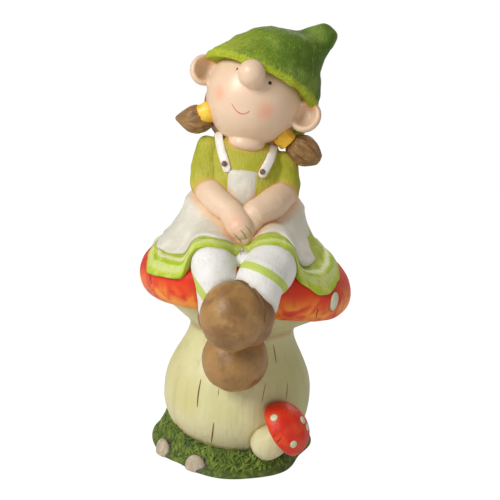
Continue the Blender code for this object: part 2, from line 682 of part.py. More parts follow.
def make_hair():
    """Hair over the nape, and pigtails with combed ridges bound by bands below the ears."""
    pieces = [ellipsoid(on_head(0.0, 0.018, -0.010), (HEAD_RADIUS * 1.01, 0.040, HEAD_TALL * 0.86),
                        HEAD_TURNED, 20, 12)]
    count = 20
    for angle, slant, size, blunt in ((203.0, 187.0, 0.92, 0.80), (-50.0, -26.0, 1.03, 0.74)):
        a = math.radians(angle)
        b = math.radians(slant)
        reach = HEAD_RADIUS + 0.004
        tie = HEAD_CENTRE + Vector((reach * math.cos(a), -0.006, reach * math.sin(a)))
        band = tie
        tie = band + Vector((0.004, 0.0, -0.0060))
        outward = Vector((math.cos(b), 0.06, math.sin(b))).normalized()
        level = outward.cross(Vector((0.0, 1.0, 0.0))).normalized()
        depth = outward.cross(level)
        rings = [pole(tie - outward * 0.004, count)]
        for step in range(8):
            share = step / 7.0
            swell = math.sin(math.pi * (0.14 + blunt * share) ** 0.90)
            radius = PIGTAIL_RADIUS * size * swell
            points = []
            for k in range(count):
                turn = 2.0 * math.pi * k / count
                ridge = radius * (1.0 + 0.05 * math.cos(5.0 * turn))
                away = outward * (PIGTAIL_LENGTH * share)
                points.append(tie + away + level * ridge * math.cos(turn) * 1.08 + depth * ridge * math.sin(turn))
            rings.append(points)
        rings.append(pole(tie + outward * PIGTAIL_LENGTH * 1.04, count))
        pieces.append(loft(rings))
        ends = [band - outward * 0.006, band]
        pieces.append(limb(ends, [TIE_RADIUS, TIE_RADIUS * 0.94], 14, flat=0.9, side=Vector((0.0, 1.0, 0.0))))
    return pieces


def make_hat():
    """Felt hat pulled over the head: brim up over the nose and down behind, peak to one side."""
    count = 34
    reach = HEAD_RADIUS + HAT_CLEARANCE
    top = HAT_HEIGHT
    # height share, shift as a share of the peak's, radius share, how much of the brim's slope is left
    crown = ((0.06, 0.10, 1.03, 1.00), (0.22, 0.09, 1.00, 0.66), (0.40, 0.11, 0.905, 0.34),
             (0.56, 0.15, 0.800, 0.14), (0.72, 0.22, 0.690, 0.04), (0.86, 0.36, 0.600, 0.0),
             (0.945, 0.58, 0.480, 0.0), (1.0, 0.82, 0.350, 0.0))
    tip = ((0.20, 0.92, 0.300), (0.48, 0.97, 0.260), (0.74, 1.01, 0.205), (0.92, 1.03, 0.125))
    rings = []

    def hat_ring(z, shift, radius, slope):
        centre = (shift * HAT_PEAK_SHIFT, 0.003 + 0.009 * shift, z)

        def lift(angle):
            fall = BRIM_SLOPE if math.sin(angle) < 0.0 else BRIM_BEHIND
            return slope * (BRIM_LEFT_RISE * max(0.0, -math.cos(angle)) ** 2 - fall * math.sin(angle))

        points = ring(centre, radius, radius * 0.91, count, lift)
        for place in points:
            behind = max(0.0, place.y / reach) * slope
            if place.x > 0.0:
                place.x *= 1.0 + BEHIND_FLARE * behind
            else:
                place.x *= 1.0 + BRIM_LEFT_FLARE * slope
        return points

    floor = BRIM_LEVEL
    rings.append(pole((0.0, 0.004, floor + 0.004), count))
    rings.append(hat_ring(floor - 0.001, 0.05, HEAD_RADIUS * 0.80, 1.0))
    rings.append(hat_ring(floor - 0.003, 0.08, HEAD_RADIUS * 1.03, 1.0))
    rings.append(hat_ring(floor - BRIM_ROLL, 0.10, reach, 1.0))
    for share, shift, radius, slope in crown:
        rings.append(hat_ring(floor + (top - floor) * share, shift, reach * radius, slope))
    for share, shift, radius in tip:
        rings.append(hat_ring(top + HAT_PEAK_RISE * share, shift, reach * radius, 0.0))
    rings.append(pole((HAT_PEAK_SHIFT * 1.04, 0.012, top + HAT_PEAK_RISE), count))
    hat = loft(rings)
    place = Matrix.Translation(HEAD_CENTRE) @ HAT_TURNED.to_4x4()
    bmesh.ops.transform(hat, matrix=place, verts=hat.verts)
    return hat


def make_straps():
    """Apron straps over both shoulders, each with a button, and the bib they hold."""
    pieces = []
    flat = 0.5 * STRAP_THICKNESS / STRAP_HALF_WIDTH
    for side in (-1.0, 1.0):
        crest = Vector((BODY_SHIFT + side * 0.0350 - 0.001, -0.004, SHOULDER_Z + 0.0145 - 0.040 * side * SLOPE))
        foot = on_body(side * 0.0200 - 0.0025, CHEST_Z + 0.005, -1.0)
        path = [on_body(side * 0.026, WAIST_Z, 1.0), on_body(side * 0.029, CHEST_Z, 1.0),
                on_body(side * 0.033, SHOULDER_Z - 0.009, 1.0), crest,
                on_body(side * 0.0300 - 0.0015, SHOULDER_Z + 0.002, -1.0),
                on_body(side * 0.0250 - 0.0020, CHEST_Z + 0.0145, -1.0), foot]
        core = Vector((BODY_SHIFT + side * 0.012, 0.0, CHEST_Z))
        path = [place + (place - core).normalized() * 0.3 * STRAP_THICKNESS for place in path]
        pieces.append(limb(path, [STRAP_HALF_WIDTH] * len(path), 8, flat=flat, core=core))
        button = foot + Vector((0.0, -0.5 * STRAP_THICKNESS, 0.003))
        pieces.append(ellipsoid(button, (BUTTON_RADIUS, STRAP_THICKNESS * 0.5, BUTTON_RADIUS), turn_by(), 10, 6))
    count = 20
    middle = (BODY_SHIFT - 0.0045, -CHEST_HALF_DEPTH + 0.006)
    rings = [pole((*middle, WAIST_Z - 0.014), count)]
    for z, half, proud in ((WAIST_Z - 0.012, 0.018, 0.0160), (WAIST_Z, 0.018, 0.0135), (WAIST_Z + 0.016, 0.018, 0.0110),
                           (CHEST_Z + 0.002, 0.0175, 0.0085), (CHEST_Z + 0.006, 0.0165, 0.0080)):
        rings.append(ring((*middle, z), half, proud, count))
    rings.append(pole((*middle, CHEST_Z + 0.007), count))
    pieces.append(loft(rings))
    return pieces


def flat_faced(form):
    """Split every face into triangles, which are flat whatever bends they follow."""
    bmesh.ops.triangulate(form, faces=form.faces)
    return form


def gather(name, forms):
    """Put forms into a collection of their own, as operands that are not pieces themselves."""
    group = bpy.data.collections.new(name)
    bpy.context.scene.collection.children.link(group)
    for form in forms:
        mesh = bpy.data.meshes.new(name)
        flat_faced(form).to_mesh(mesh)
        form.free()
        operand = bpy.data.objects.new(name, mesh)
        operand.hide_render = True
        operand.display_type = "WIRE"
        group.objects.link(operand)
    return group


def combine(body, forms, operation):
    """Join every form to the body at once, or scoop each one out, and keep the result as its mesh."""
    group = gather("forms", forms)
    step = body.modifiers.new("combine", "BOOLEAN")
    step.operation = operation
    step.solver = "EXACT"
    step.operand_type = "COLLECTION"
    step.collection = group
    settled = body.evaluated_get(bpy.context.evaluated_depsgraph_get())
    shape = bpy.data.meshes.new_from_object(settled)
    body.modifiers.clear()
    body.data = shape
    for operand in list(group.objects):
        bpy.data.objects.remove(operand, do_unlink=True)
    bpy.data.collections.remove(group)


def shaped(form, tool, operation):
    """One form changed by another, before it joins the rest."""
    mesh = bpy.data.meshes.new("shaped")
    flat_faced(form).to_mesh(mesh)
    form.free()
    body = bpy.data.objects.new("shaped", mesh)
    bpy.context.collection.objects.link(body)
    combine(body, [tool], operation)
    result = bmesh.new()
    result.from_mesh(body.data)
    bpy.data.objects.remove(body, do_unlink=True)
    bmesh.ops.remove_doubles(result, verts=result.verts, dist=SLIVER)
    return result


def drop_flaps(bm, smallest):
    """Take away shells of so few points that they enclose nothing."""
    waiting = set(bm.verts)
    flaps = []
    while waiting:
        shell = {waiting.pop()}
        edge_of_shell = list(shell)
        while edge_of_shell:
            vert = edge_of_shell.pop()
            found = {edge.other_vert(vert) for edge in vert.link_edges} - shell
            shell |= found
            edge_of_shell.extend(found)
        waiting -= shell
        if len(shell) < smallest:
            flaps.extend(shell)
    bmesh.ops.delete(bm, geom=flaps, context="VERTS")


def build():
    casting = make_casting("gnome_figurine")
    flat_faced(make_plinth()).to_mesh(casting.data)
    forms = [*make_stones(), make_stem(), make_cap(), *make_spots(), *make_small_toadstool()]
    forms += [make_dress_layer(FRILL_HEM, 0.0, FRILL_WELT), make_dress_layer(APRON_HEM, APRON_THICKNESS, 0.0)]
    forms += [make_torso(), *make_arms(), *make_legs(), *make_shoes(), *make_straps()]
    forms += [*make_head(), *make_ears(), *make_hair(), make_hat()]
    combine(casting, forms, "UNION")
    tidy = bmesh.new()
    tidy.from_mesh(casting.data)
    bmesh.ops.remove_doubles(tidy, verts=tidy.verts, dist=SLIVER)
    drop_flaps(tidy, 5)
    flat_faced(tidy).to_mesh(casting.data)
    facets = len(tidy.faces)
    tidy.free()
    thin = casting.modifiers.new("thin_out", "DECIMATE")
    thin.decimate_type = "COLLAPSE"
    thin.ratio = min(1.0, FACETS / facets)
    casting.data.shade_smooth()
    casting.data.set_sharp_from_angle(angle=math.radians(50.0))


build()
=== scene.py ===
# %% [markdown]
# # A painted garden figurine: a girl in a green hat on a toadstool
#
# The real object is one cast body, painted by hand. Each painted region is made here as a
# closed piece of its own, because a finish is easiest to learn, and to repaint, one piece at
# a time. All pieces share one place in space: metres, Z up, the front towards -Y.
#
# The first cell opens the fixed frame, a plain solid of the same object, and keeps its box.
# Whatever is modelled later has to stay inside that box.

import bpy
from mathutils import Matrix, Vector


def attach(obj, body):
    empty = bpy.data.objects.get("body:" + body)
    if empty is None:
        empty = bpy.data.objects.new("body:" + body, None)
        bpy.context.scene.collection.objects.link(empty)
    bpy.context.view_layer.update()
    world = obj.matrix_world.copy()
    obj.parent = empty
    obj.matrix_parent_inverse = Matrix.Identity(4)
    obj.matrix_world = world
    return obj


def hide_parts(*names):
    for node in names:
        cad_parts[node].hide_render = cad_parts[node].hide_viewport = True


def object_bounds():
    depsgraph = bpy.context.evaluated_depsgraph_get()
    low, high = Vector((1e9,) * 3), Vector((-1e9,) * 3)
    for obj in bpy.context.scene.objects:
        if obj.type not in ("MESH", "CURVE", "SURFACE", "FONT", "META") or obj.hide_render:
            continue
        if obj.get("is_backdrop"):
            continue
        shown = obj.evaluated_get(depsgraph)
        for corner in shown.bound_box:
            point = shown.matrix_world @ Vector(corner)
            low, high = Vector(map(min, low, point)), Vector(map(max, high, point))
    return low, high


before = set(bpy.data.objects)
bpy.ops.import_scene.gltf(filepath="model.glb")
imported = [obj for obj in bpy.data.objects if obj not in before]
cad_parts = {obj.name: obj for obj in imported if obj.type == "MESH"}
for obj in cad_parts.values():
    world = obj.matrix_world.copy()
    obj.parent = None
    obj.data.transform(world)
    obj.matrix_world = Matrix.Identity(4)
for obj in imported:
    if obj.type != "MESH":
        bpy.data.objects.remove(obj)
cad_box = [list(corner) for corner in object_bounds()]

import math

import bmesh
import bpy
from mathutils import Matrix, Vector, noise
from mathutils.bvhtree import BVHTree

print("frame box in mm:", [[round(1000 * value, 1) for value in corner] for corner in cad_box])

# %% [markdown]
# ## The camera comes first
#
# Small painted details, such as an eye, are easiest to place by looking at them from the
# picture's own viewpoint. So the camera is made before the figure, and details are dropped
# along its lines of sight onto whatever surface carries them. The figure leans 4.5 degrees
# in the picture because the camera was held askew. Rolling the camera keeps the figure upright.

# %% Camera
EYE = Vector((0.0, -1.05, 0.48))
AIM = Vector((0.0, 0.0, 0.24))
ROLL = math.radians(4.5)
SENSOR_WIDTH = 36.0
FOCAL_LENGTH_IN_PIXELS = 922.0
PICTURE_WIDTH_IN_PIXELS = 500.0

camera = bpy.data.cameras.new("camera")
camera.sensor_width = SENSOR_WIDTH
camera.lens = FOCAL_LENGTH_IN_PIXELS / PICTURE_WIDTH_IN_PIXELS * SENSOR_WIDTH
camera.shift_x = 0.004
camera_stand = bpy.data.objects.new("camera", camera)
bpy.context.scene.collection.objects.link(camera_stand)
facing = (AIM - EYE).to_track_quat("-Z", "Y").to_matrix().to_4x4()
camera_stand.matrix_world = Matrix.Translation(EYE) @ facing @ Matrix.Rotation(ROLL, 4, "Z")
bpy.context.scene.camera = camera_stand
print("camera lens in mm:", round(camera.lens, 1))

# %% [markdown]
# ## Sizes
#
# Every size that is used more than once gets a name. The heights build on each other: the
# cap sits on the neck of the stem, the girl on the cap and the head on the girl, so one
# changed value moves all that stands above it.

# %% Sizes in metres and angles in degrees
PLINTH_RADIUS = 0.099
PLINTH_EDGE = 0.007
GRASS_CLIMB = 0.022
STEM_FOOT_RADIUS = 0.052
STEM_BELLY_RADIUS = 0.0875
STEM_BELLY_HEIGHT = 0.064
STEM_NECK_RADIUS = 0.061
NECK_Z = 0.152
CAP_RADIUS = 0.1245
CAP_CROWN = 0.043
CAP_LIP_DROP = 0.031
RIM_RISE = 0.063
RIM_Z = NECK_Z + RIM_RISE
SEAT_Z = RIM_Z + CAP_CROWN
BODY_SHIFT = -0.008
WAIST_Z = SEAT_Z + 0.040
CHEST_Z = SEAT_Z + 0.074
SHOULDER_Z = SEAT_Z + 0.096
COLLAR_Z = SEAT_Z + 0.112
HEAD_RADIUS = 0.054
HEAD_TALL = 0.058
HEAD_CENTRE = Vector((BODY_SHIFT + 0.002, 0.0, COLLAR_Z + 0.049))
print("seat, waist, shoulder and collar heights in mm:",
      [round(1000 * z, 1) for z in (SEAT_Z, WAIST_Z, SHOULDER_Z, COLLAR_Z)])

# %% [markdown]
# ## Four ways to make a form
#
# Almost everything here is a ring that is drawn out again and again: a loft. A limb is a
# loft along a path. A ball is a stretched sphere, and a spun form is an outline turned
# about an upright axis, as on a potter's wheel. Each loft also gets a UV map called wrap,
# round the form and along it, so that brush strokes can follow the shape.

# %% Loft
def loft(rings):
    """Skin through closed rings of points, each ring extruded from the one before it."""
    bm = bmesh.new()
    count = len(rings[0])
    step = bm.verts.layers.int.new("step")
    station = bm.verts.layers.int.new("station")
    loop = bmesh.ops.create_circle(bm, segments=count, radius=1.0)["verts"]
    for k, (vert, place) in enumerate(zip(loop, rings[0])):
        vert.co = place
        vert[step] = k
    first = loop
    for row, ring_points in enumerate(rings[1:], start=1):
        members = set(loop)
        along = {edge for vert in loop for edge in vert.link_edges
                 if edge.verts[0] in members and edge.verts[1] in members}
        grown = bmesh.ops.extrude_edge_only(bm, edges=list(along))["geom"]
        fresh = {item for item in grown if isinstance(item, bmesh.types.BMVert)}
        following = []
        for k, (vert, place) in enumerate(zip(loop, ring_points)):
            partner = next(e.other_vert(vert) for e in vert.link_edges if e.other_vert(vert) in fresh)
            partner.co = place
            partner[step] = k
            partner[station] = row
            following.append(partner)
        loop = following
    wrap_map(bm, count, len(rings) - 1, step, station)
    for ending in (first, loop):
        if (ending[0].co - ending[count // 2].co).length > 1e-6:
            bmesh.ops.contextual_create(bm, geom=ending)
    return settled(bm)


def wrap_map(bm, count, rows, step, station):
    """UV map of a loft: once round is 0 to 1, and from the first ring to the last is 0 to 1."""
    wrap = bm.loops.layers.uv.new("wrap")
    for face in bm.faces:
        steps = [corner.vert[step] for corner in face.loops]
        over_the_seam = max(steps) - min(steps) > count / 2
        for corner, k in zip(face.loops, steps):
            turned = k + count if over_the_seam and k < count / 2 else k
            corner[wrap].uv = (turned / count, corner.vert[station] / rows)


def settled(bm):
    """Merge points that coincide, then turn all faces outwards."""
    bmesh.ops.remove_doubles(bm, verts=bm.verts, dist=1e-6)
    bmesh.ops.recalc_face_normals(bm, faces=bm.faces)
    return bm


def ring(centre, half_x, half_y, count, lift=lambda angle: 0.0):
    """A level ellipse of points, each raised by lift(angle)."""
    angles = [2.0 * math.pi * k / count for k in range(count)]
    return [Vector((centre[0] + half_x * math.cos(a), centre[1] + half_y * math.sin(a), centre[2] + lift(a)))
            for a in angles]


def pole(place, count):
    """A ring drawn together to one point, which closes an end."""
    return [Vector(place)] * count


print("forms: loft")

# %% Ball, limb and turned form
def ball(centre, radii, turn=Matrix.Identity(3), around=48, along=28):
    """A sphere stretched along its own axes, then turned and placed."""
    bm = bmesh.new()
    shape = Matrix.Translation(centre) @ turn.to_4x4() @ Matrix.Diagonal((*radii, 1.0))
    bmesh.ops.create_uvsphere(bm, u_segments=around, v_segments=along, radius=1.0, matrix=shape)
    return settled(bm)


def limb(path, radii, count=24, flat=1.0, side=Vector((0.0, 0.0, 1.0)), core=None,
         ends=(0.35, 0.75, 1.15, 1.45)):
    """A bar along a path; flat thins it towards side, or away from a core.

    Each end is rounded by rings that stand at the angles in ends, in radians.
    """
    path = [Vector(p) for p in path]
    stations = []
    for index, (place, radius) in enumerate(zip(path, radii)):
        before = path[max(index - 1, 0)]
        after = path[min(index + 1, len(path) - 1)]
        along = (after - before).normalized()
        if index == 0:
            stations += [(place - along * radius * math.sin(a), along, radius * math.cos(a))
                         for a in ends[::-1]]
        stations.append((place, along, radius))
        if index == len(path) - 1:
            stations += [(place + along * radius * math.sin(a), along, radius * math.cos(a))
                         for a in ends]
    rings = []
    for place, along, radius in stations:
        towards = side if core is None else place - core
        across = along.cross(towards).normalized()
        upward = across.cross(along)
        angles = [2.0 * math.pi * k / count for k in range(count)]
        rings.append([place + across * math.cos(a) * radius + upward * math.sin(a) * radius * flat
                      for a in angles])
    return loft(rings)


def turned_form(outline, steps=96, place=Matrix.Identity(4)):
    """An outline of (radius, height) pairs spun round the upright axis, then placed."""
    bm = bmesh.new()
    verts = [bm.verts.new((radius, 0.0, height)) for radius, height in outline]
    edges = [bm.edges.new(pair) for pair in zip(verts, verts[1:])]
    bmesh.ops.spin(bm, geom=verts + edges, axis=(0, 0, 1), cent=(0, 0, 0), angle=2.0 * math.pi,
                   steps=steps, use_merge=True, use_duplicate=False, dvec=(0, 0, 0))
    bmesh.ops.transform(bm, matrix=place, verts=bm.verts)
    return settled(bm)


def turn_by(tip=0.0, tilt=0.0, spin=0.0):
    """Rotation in degrees: tipped about X, then tilted about Y, then spun about Z."""
    about_x = Matrix.Rotation(math.radians(tip), 3, "X")
    about_y = Matrix.Rotation(math.radians(tilt), 3, "Y")
    about_z = Matrix.Rotation(math.radians(spin), 3, "Z")
    return about_z @ about_y @ about_x


def flowing(points, pieces=4):
    """A smooth run of points through the given ones, with that many steps between each two."""
    points = [Vector(p) for p in points]
    run = []
    for index in range(len(points) - 1):
        before = points[max(index - 1, 0)]
        here, there = points[index], points[index + 1]
        beyond = points[min(index + 2, len(points) - 1)]
        for k in range(pieces):
            t = k / pieces
            run.append(0.5 * (2.0 * here + (there - before) * t
                              + (2.0 * before - 5.0 * here + 4.0 * there - beyond) * t * t
                              + (3.0 * here - before - 3.0 * there + beyond) * t ** 3))
    return run + [points[-1]]


print("more forms: ball, limb, turned_form")

# %% [markdown]
# ## From a form to a piece
#
# A casting has no knife-sharp corners: the mould and the paint round everything off.
# Subdivision rounds a single form. Where several forms flow into each other, such as a
# nose and a face, they are wrapped in one skin of small even cells (a voxel remesh) and
# smoothed a little, which leaves the soft valley that a cast and painted surface has.
# Hand-made forms are never quite even either, so a faint unevenness is pressed in as well.

# %% Pieces
PIECES = {}


def together(forms):
    """Several forms in one mesh."""
    whole = bmesh.new()
    for form in forms:
        part_mesh = bpy.data.meshes.new("part")
        form.to_mesh(part_mesh)
        form.free()
        whole.from_mesh(part_mesh)
        bpy.data.meshes.remove(part_mesh)
    return whole


def applied(piece):
    """Take the result of the piece's modifiers as its mesh."""
    result = bpy.data.meshes.new_from_object(piece.evaluated_get(bpy.context.evaluated_depsgraph_get()))
    piece.modifiers.clear()
    piece.data = result


def make_piece(name, form, rounds=0, cells=0.0, softness=6, lumps=0.0, lump_size=0.012, settle=0):
    """Turn a form into a named piece: settled and subdivided, or wrapped in one skin of small cells."""
    mesh = bpy.data.meshes.new(name)
    form.to_mesh(mesh)
    form.free()
    piece = bpy.data.objects.new(name, mesh)
    bpy.context.scene.collection.objects.link(piece)
    if cells:
        wrap = piece.modifiers.new("wrap", "REMESH")
        wrap.mode = "VOXEL"
        wrap.voxel_size = cells
        smooth = piece.modifiers.new("smooth", "SMOOTH")
        smooth.factor = 0.5
        smooth.iterations = softness
    if settle:
        even = piece.modifiers.new("even", "SMOOTH")
        even.factor = 0.5
        even.iterations = settle
    if rounds:
        soft = piece.modifiers.new("soft", "SUBSURF")
        soft.levels = rounds
        soft.render_levels = rounds
    if piece.modifiers:
        applied(piece)
    if lumps:
        normals = [normal.vector.copy() for normal in piece.data.vertex_normals]
        for vert, normal in zip(piece.data.vertices, normals):
            vert.co += normal * lumps * noise.noise(vert.co / lump_size)
    piece.data.shade_smooth()
    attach(piece, "root")
    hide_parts("gnome_figurine")
    PIECES[name] = piece
    corners = [vert.co for vert in piece.data.vertices]
    spans = [max(c[i] for c in corners) - min(c[i] for c in corners) for i in range(3)]
    print(f"{name}: {len(piece.data.polygons)} faces, {[round(1000 * s, 1) for s in spans]} mm")


def seen_from_camera(place, *names):
    """Where the line of sight through a place meets the named pieces, with the surface's direction."""
    nearest = (None, None, None)
    for name in names:
        mesh = PIECES[name].data
        skin = BVHTree.FromPolygons([v.co for v in mesh.vertices], [p.vertices for p in mesh.polygons])
        hit, normal, index, distance = skin.ray_cast(EYE, (Vector(place) - EYE).normalized())
        if hit is not None and (nearest[0] is None or distance < nearest[2]):
            nearest = (hit, normal, distance)
    return nearest[0], nearest[1]


def drawn_line(points, girth, *names):
    """A thin line painted over the named pieces, thickest at its middle."""
    path = [seen_from_camera(place, *names)[0] for place in flowing(points, 4)]
    path = [place for place in path if place is not None]
    last = len(path) - 1
    radii = [girth * (0.45 + 0.55 * math.sin(math.pi * k / last)) for k in range(last + 1)]
    return limb(path, radii, 8, side=Vector((0.0, -1.0, 0.0)))


print("pieces so far:", len(PIECES))

# %% [markdown]
# ## The stem
#
# A toadstool's stem bellies out above the grass and narrows under the cap. It is round, so
# its outline is spun. Faint flutes run up it, which are pressed in afterwards by moving
# each point a little towards the axis or away from it.

# %% Stem
def stem_radius(z):
    """The stem bellies out from its foot and narrows to the neck."""
    if z < STEM_BELLY_HEIGHT:
        swell = math.sin(0.5 * math.pi * max(z, 0.0) / STEM_BELLY_HEIGHT) ** 0.8
        return STEM_FOOT_RADIUS + (STEM_BELLY_RADIUS - STEM_FOOT_RADIUS) * swell
    share = min((z - STEM_BELLY_HEIGHT) / (NECK_Z - STEM_BELLY_HEIGHT), 1.0)
    narrowing = 0.5 + 0.5 * math.cos(math.pi * share ** 1.35)
    return STEM_NECK_RADIUS + (STEM_BELLY_RADIUS - STEM_NECK_RADIUS) * narrowing


heights = [0.003 + (NECK_Z + 0.015) * k / 48 for k in range(49)]
outline = [(0.0, heights[0])] + [(stem_radius(h), h) for h in heights] + [(0.0, heights[-1])]
stem = turned_form(outline, steps=160)
for vert in stem.verts:
    angle = math.atan2(vert.co.y, vert.co.x)
    flute = noise.noise(Vector((angle * 5.0, 0.3, vert.co.z * 6.0)))
    vert.co.xy *= 1.0 + 0.007 * flute + 0.0025 * math.sin(23.0 * angle + 30.0 * vert.co.z)
make_piece("stem", stem)

# %% [markdown]
# ## The cap
#
# The cap is a low dome with a rolled lip. Its rim isn't level: it hangs at the two sides
# and rises in front, where the legs come over it. One function gives that wave, and the
# cloth of the dress uses the same one later, so that it always lies on the cap. The red
# skin and the cream underside are two pieces that meet in the lip.

# %% Cap
CAP_STEPS = 96
DOME_POWER = 2.1


def cap_wave(angle, reach):
    """How much the rim hangs or rises at an angle round the cap."""
    side = math.sin(angle)
    wave = 0.012 * (0.7 - 0.3 * min(side, 0.0) - 1.1 * max(side, 0.0)) * math.cos(2.0 * angle)
    return -wave * reach ** 3 - 0.0055 * math.cos(angle) * reach


def cap_top(x, y):
    """Height of the cap's upper skin over a place."""
    reach = min(math.hypot(x, y) / CAP_RADIUS, 0.995)
    dome = CAP_CROWN * (1.0 - reach ** DOME_POWER) ** (1.0 / DOME_POWER)
    return RIM_Z + dome + cap_wave(math.atan2(y, x), reach)


def cap_ring(reach, rise):
    """A ring of the cap at a share of its radius, that far above the neck of the stem."""
    radius = CAP_RADIUS * reach
    return ring((0.0, 0.0, NECK_Z + rise), radius, radius, CAP_STEPS, lambda a: cap_wave(a, reach))


rings = [pole((0.0, 0.0, SEAT_Z), CAP_STEPS)]
for step in range(1, 13):
    angle = 0.5 * math.pi * step / 12.0
    power = 2.0 / DOME_POWER
    rings.append(cap_ring(math.sin(angle) ** power, RIM_RISE + CAP_CROWN * math.cos(angle) ** power))
for step in range(1, 9):
    angle = 0.5 * math.pi * step / 8.0
    rings.append(cap_ring(1.0 - 0.20 * (1.0 - math.cos(angle)), RIM_RISE - CAP_LIP_DROP * math.sin(angle)))
rings.append(cap_ring(0.74, RIM_RISE - CAP_LIP_DROP + 0.004))
rings.append(cap_ring(0.5, RIM_RISE))
rings.append(pole((0.0, 0.0, RIM_Z), CAP_STEPS))
make_piece("cap_skin", loft(rings), rounds=1, lumps=0.0007, lump_size=0.02)

under = [pole((0.0, 0.0, RIM_Z - 0.004), CAP_STEPS), cap_ring(0.6, 0.050)]
under.append(cap_ring(0.80, RIM_RISE - CAP_LIP_DROP + 0.0035))
under.append(cap_ring(0.805, RIM_RISE - CAP_LIP_DROP - 0.0004))
under.append(cap_ring(0.76, RIM_RISE - CAP_LIP_DROP - 0.0018))
for share in (0.15, 0.35, 0.55, 0.75, 0.9, 1.0):
    reach = 0.76 + (0.065 / CAP_RADIUS - 0.76) * share
    lift = 0.0303 + (0.006 - 0.0303) * share ** 0.9
    flat = 1.0 - share
    radius = CAP_RADIUS * reach
    under.append(ring((0.0, 0.0, NECK_Z + lift), radius, radius, CAP_STEPS,
                      lambda a, r=reach, f=flat: f * cap_wave(a, r)))
under.append(ring((0.0, 0.0, NECK_Z - 0.006), 0.0605, 0.0605, CAP_STEPS))
under.append(pole((0.0, 0.0, NECK_Z), CAP_STEPS))
make_piece("cap_underside", loft(under), rounds=1, lumps=0.0008, lump_size=0.018)

# %% [markdown]
# ## Spots on the cap
#
# The pale spots are thin oval pads on the rim. Each is a flattened ball. The one in front is
# dropped along a line of sight and turned to the surface that it meets. The others are
# guessed: they stand at even places round the back, tipped back to lie on the dome.

# %% Spots
SPOT_IN_FRONT = (0.0992, -0.075, 0.2070)
SPOTS_BEHIND = (42.0, 98.0, 155.0)
SPOT_REACH = 0.965
hit, normal = seen_from_camera(SPOT_IN_FRONT, "cap_skin")
on_surface = normal.to_track_quat("Z", "Y").to_matrix()
spots = [ball(hit - normal * 0.0006, (0.0078, 0.0105, 0.0022), on_surface, 32, 20)]
for angle in SPOTS_BEHIND:
    a = math.radians(angle)
    reach = CAP_RADIUS * SPOT_REACH
    place = Vector((reach * math.cos(a), reach * math.sin(a), RIM_Z + 0.012 + cap_wave(a, SPOT_REACH)))
    spots.append(ball(place, (0.0085, 0.0055, 0.0115), turn_by(tip=-38.0, spin=angle + 90.0), 32, 20))
make_piece("cap_spots", together(spots))

# %% [markdown]
# ## The grass plinth
#
# The figure stands on a mound of grass. The mound is a loft with an uneven edge. Its
# blades were carved in the original, so they lie against the mound and point up to the
# stem. Each blade is one thin limb with few faces, because there are hundreds of them.

# %% Mound
def bump(angle, middle, width):
    """A soft rise round the plinth, with its middle and width in degrees."""
    away = (math.degrees(angle) - middle + 180.0) % 360.0 - 180.0
    return math.exp(-(away / width) ** 2)


def uneven(angle):
    """The edge of the plinth: drawn out in front, pulled in on the right."""
    front = 0.070 * bump(angle, -95.0, 18.0)
    between_stones = -0.045 * bump(angle, -128.0, 9.0)
    right = -0.13 * bump(angle, -22.0, 24.0)
    return 1.0 + front + between_stones + right + 0.01 * math.sin(5.0 * angle)


def climb(angle):
    """How high the grass reaches up the stem."""
    return GRASS_CLIMB * (1.0 + 0.95 * bump(angle, 178.0, 42.0) + 0.3 * bump(angle, 20.0, 40.0))


def on_mound(angle, share):
    """A place on the grass, from the edge of the plinth (0) to the stem (1)."""
    foot = STEM_BELLY_RADIUS * 0.90
    radius = PLINTH_RADIUS * 0.95 + (foot - PLINTH_RADIUS * 0.95) * share
    radius *= 1.0 + (uneven(angle) - 1.0) * (1.0 - share)
    height = PLINTH_EDGE + (climb(angle) - PLINTH_EDGE) * share ** 1.2
    return Vector((radius * math.cos(angle), radius * math.sin(angle), height))


count = 144
angles = [2.0 * math.pi * k / count for k in range(count)]
rings = [pole((0.0, 0.0, 0.0), count)]
for reach, rise in ((0.96, 0.0), (1.004, 0.0), (1.006, 0.35), (0.990, 0.80)):
    edge = [PLINTH_RADIUS * reach * uneven(a) for a in angles]
    rings.append([Vector((radius * math.cos(a), radius * math.sin(a), rise * PLINTH_EDGE))
                  for radius, a in zip(edge, angles)])
for share in (0.0, 0.15, 0.3, 0.45, 0.6, 0.75, 0.9, 1.0):
    tufts = [0.0012 * noise.noise(Vector((22.0 * a, 9.0 * share, 0.0))) for a in angles]
    rings.append([on_mound(a, share) + Vector((0.0, 0.0, tuft)) for a, tuft in zip(angles, tufts)])
rings.append(pole((0.0, 0.0, GRASS_CLIMB), count))
make_piece("grass_mound", loft(rings), rounds=1)

# %% Blades
BLADE_ROWS = 6
BLADES_ROUND = 76


def chance(seed, kind):
    """A fixed random number between about -1 and 1."""
    return 2.0 * noise.noise(Vector((seed * 1.73, 3.1 * kind, 0.37 * seed)))


blades = []
for row in range(BLADE_ROWS):
    for k in range(BLADES_ROUND):
        seed = row * 100.0 + k
        angle = 2.0 * math.pi * (k + 0.5 * (row % 2) + 0.5 * chance(seed, 0)) / BLADES_ROUND
        start = 0.01 + 0.155 * row + 0.06 * chance(seed, 1)
        length = 0.25 + 0.13 * chance(seed, 2)
        lean = 0.13 * chance(seed, 3)
        girth = 0.0021 + 0.0008 * chance(seed, 4)
        path = []
        for t in (0.0, 0.35, 0.7, 1.0):
            share = min(max(start, 0.0) + length * t, 1.06)
            path.append(on_mound(angle + lean * t * t, share) + Vector((0.0, 0.0, 0.0012 * t)))
        blades.append(limb(path, [girth * 0.7, girth, girth * 0.8, girth * 0.3], 6, flat=0.45, ends=(0.9,)))
make_piece("grass_blades", together(blades))

# %% [markdown]
# ## Stones and the small toadstool
#
# Two beach stones are half sunk in the front edge. A small toadstool leans out beside the
# stem; its stem and cap are spun and then laid over as one.

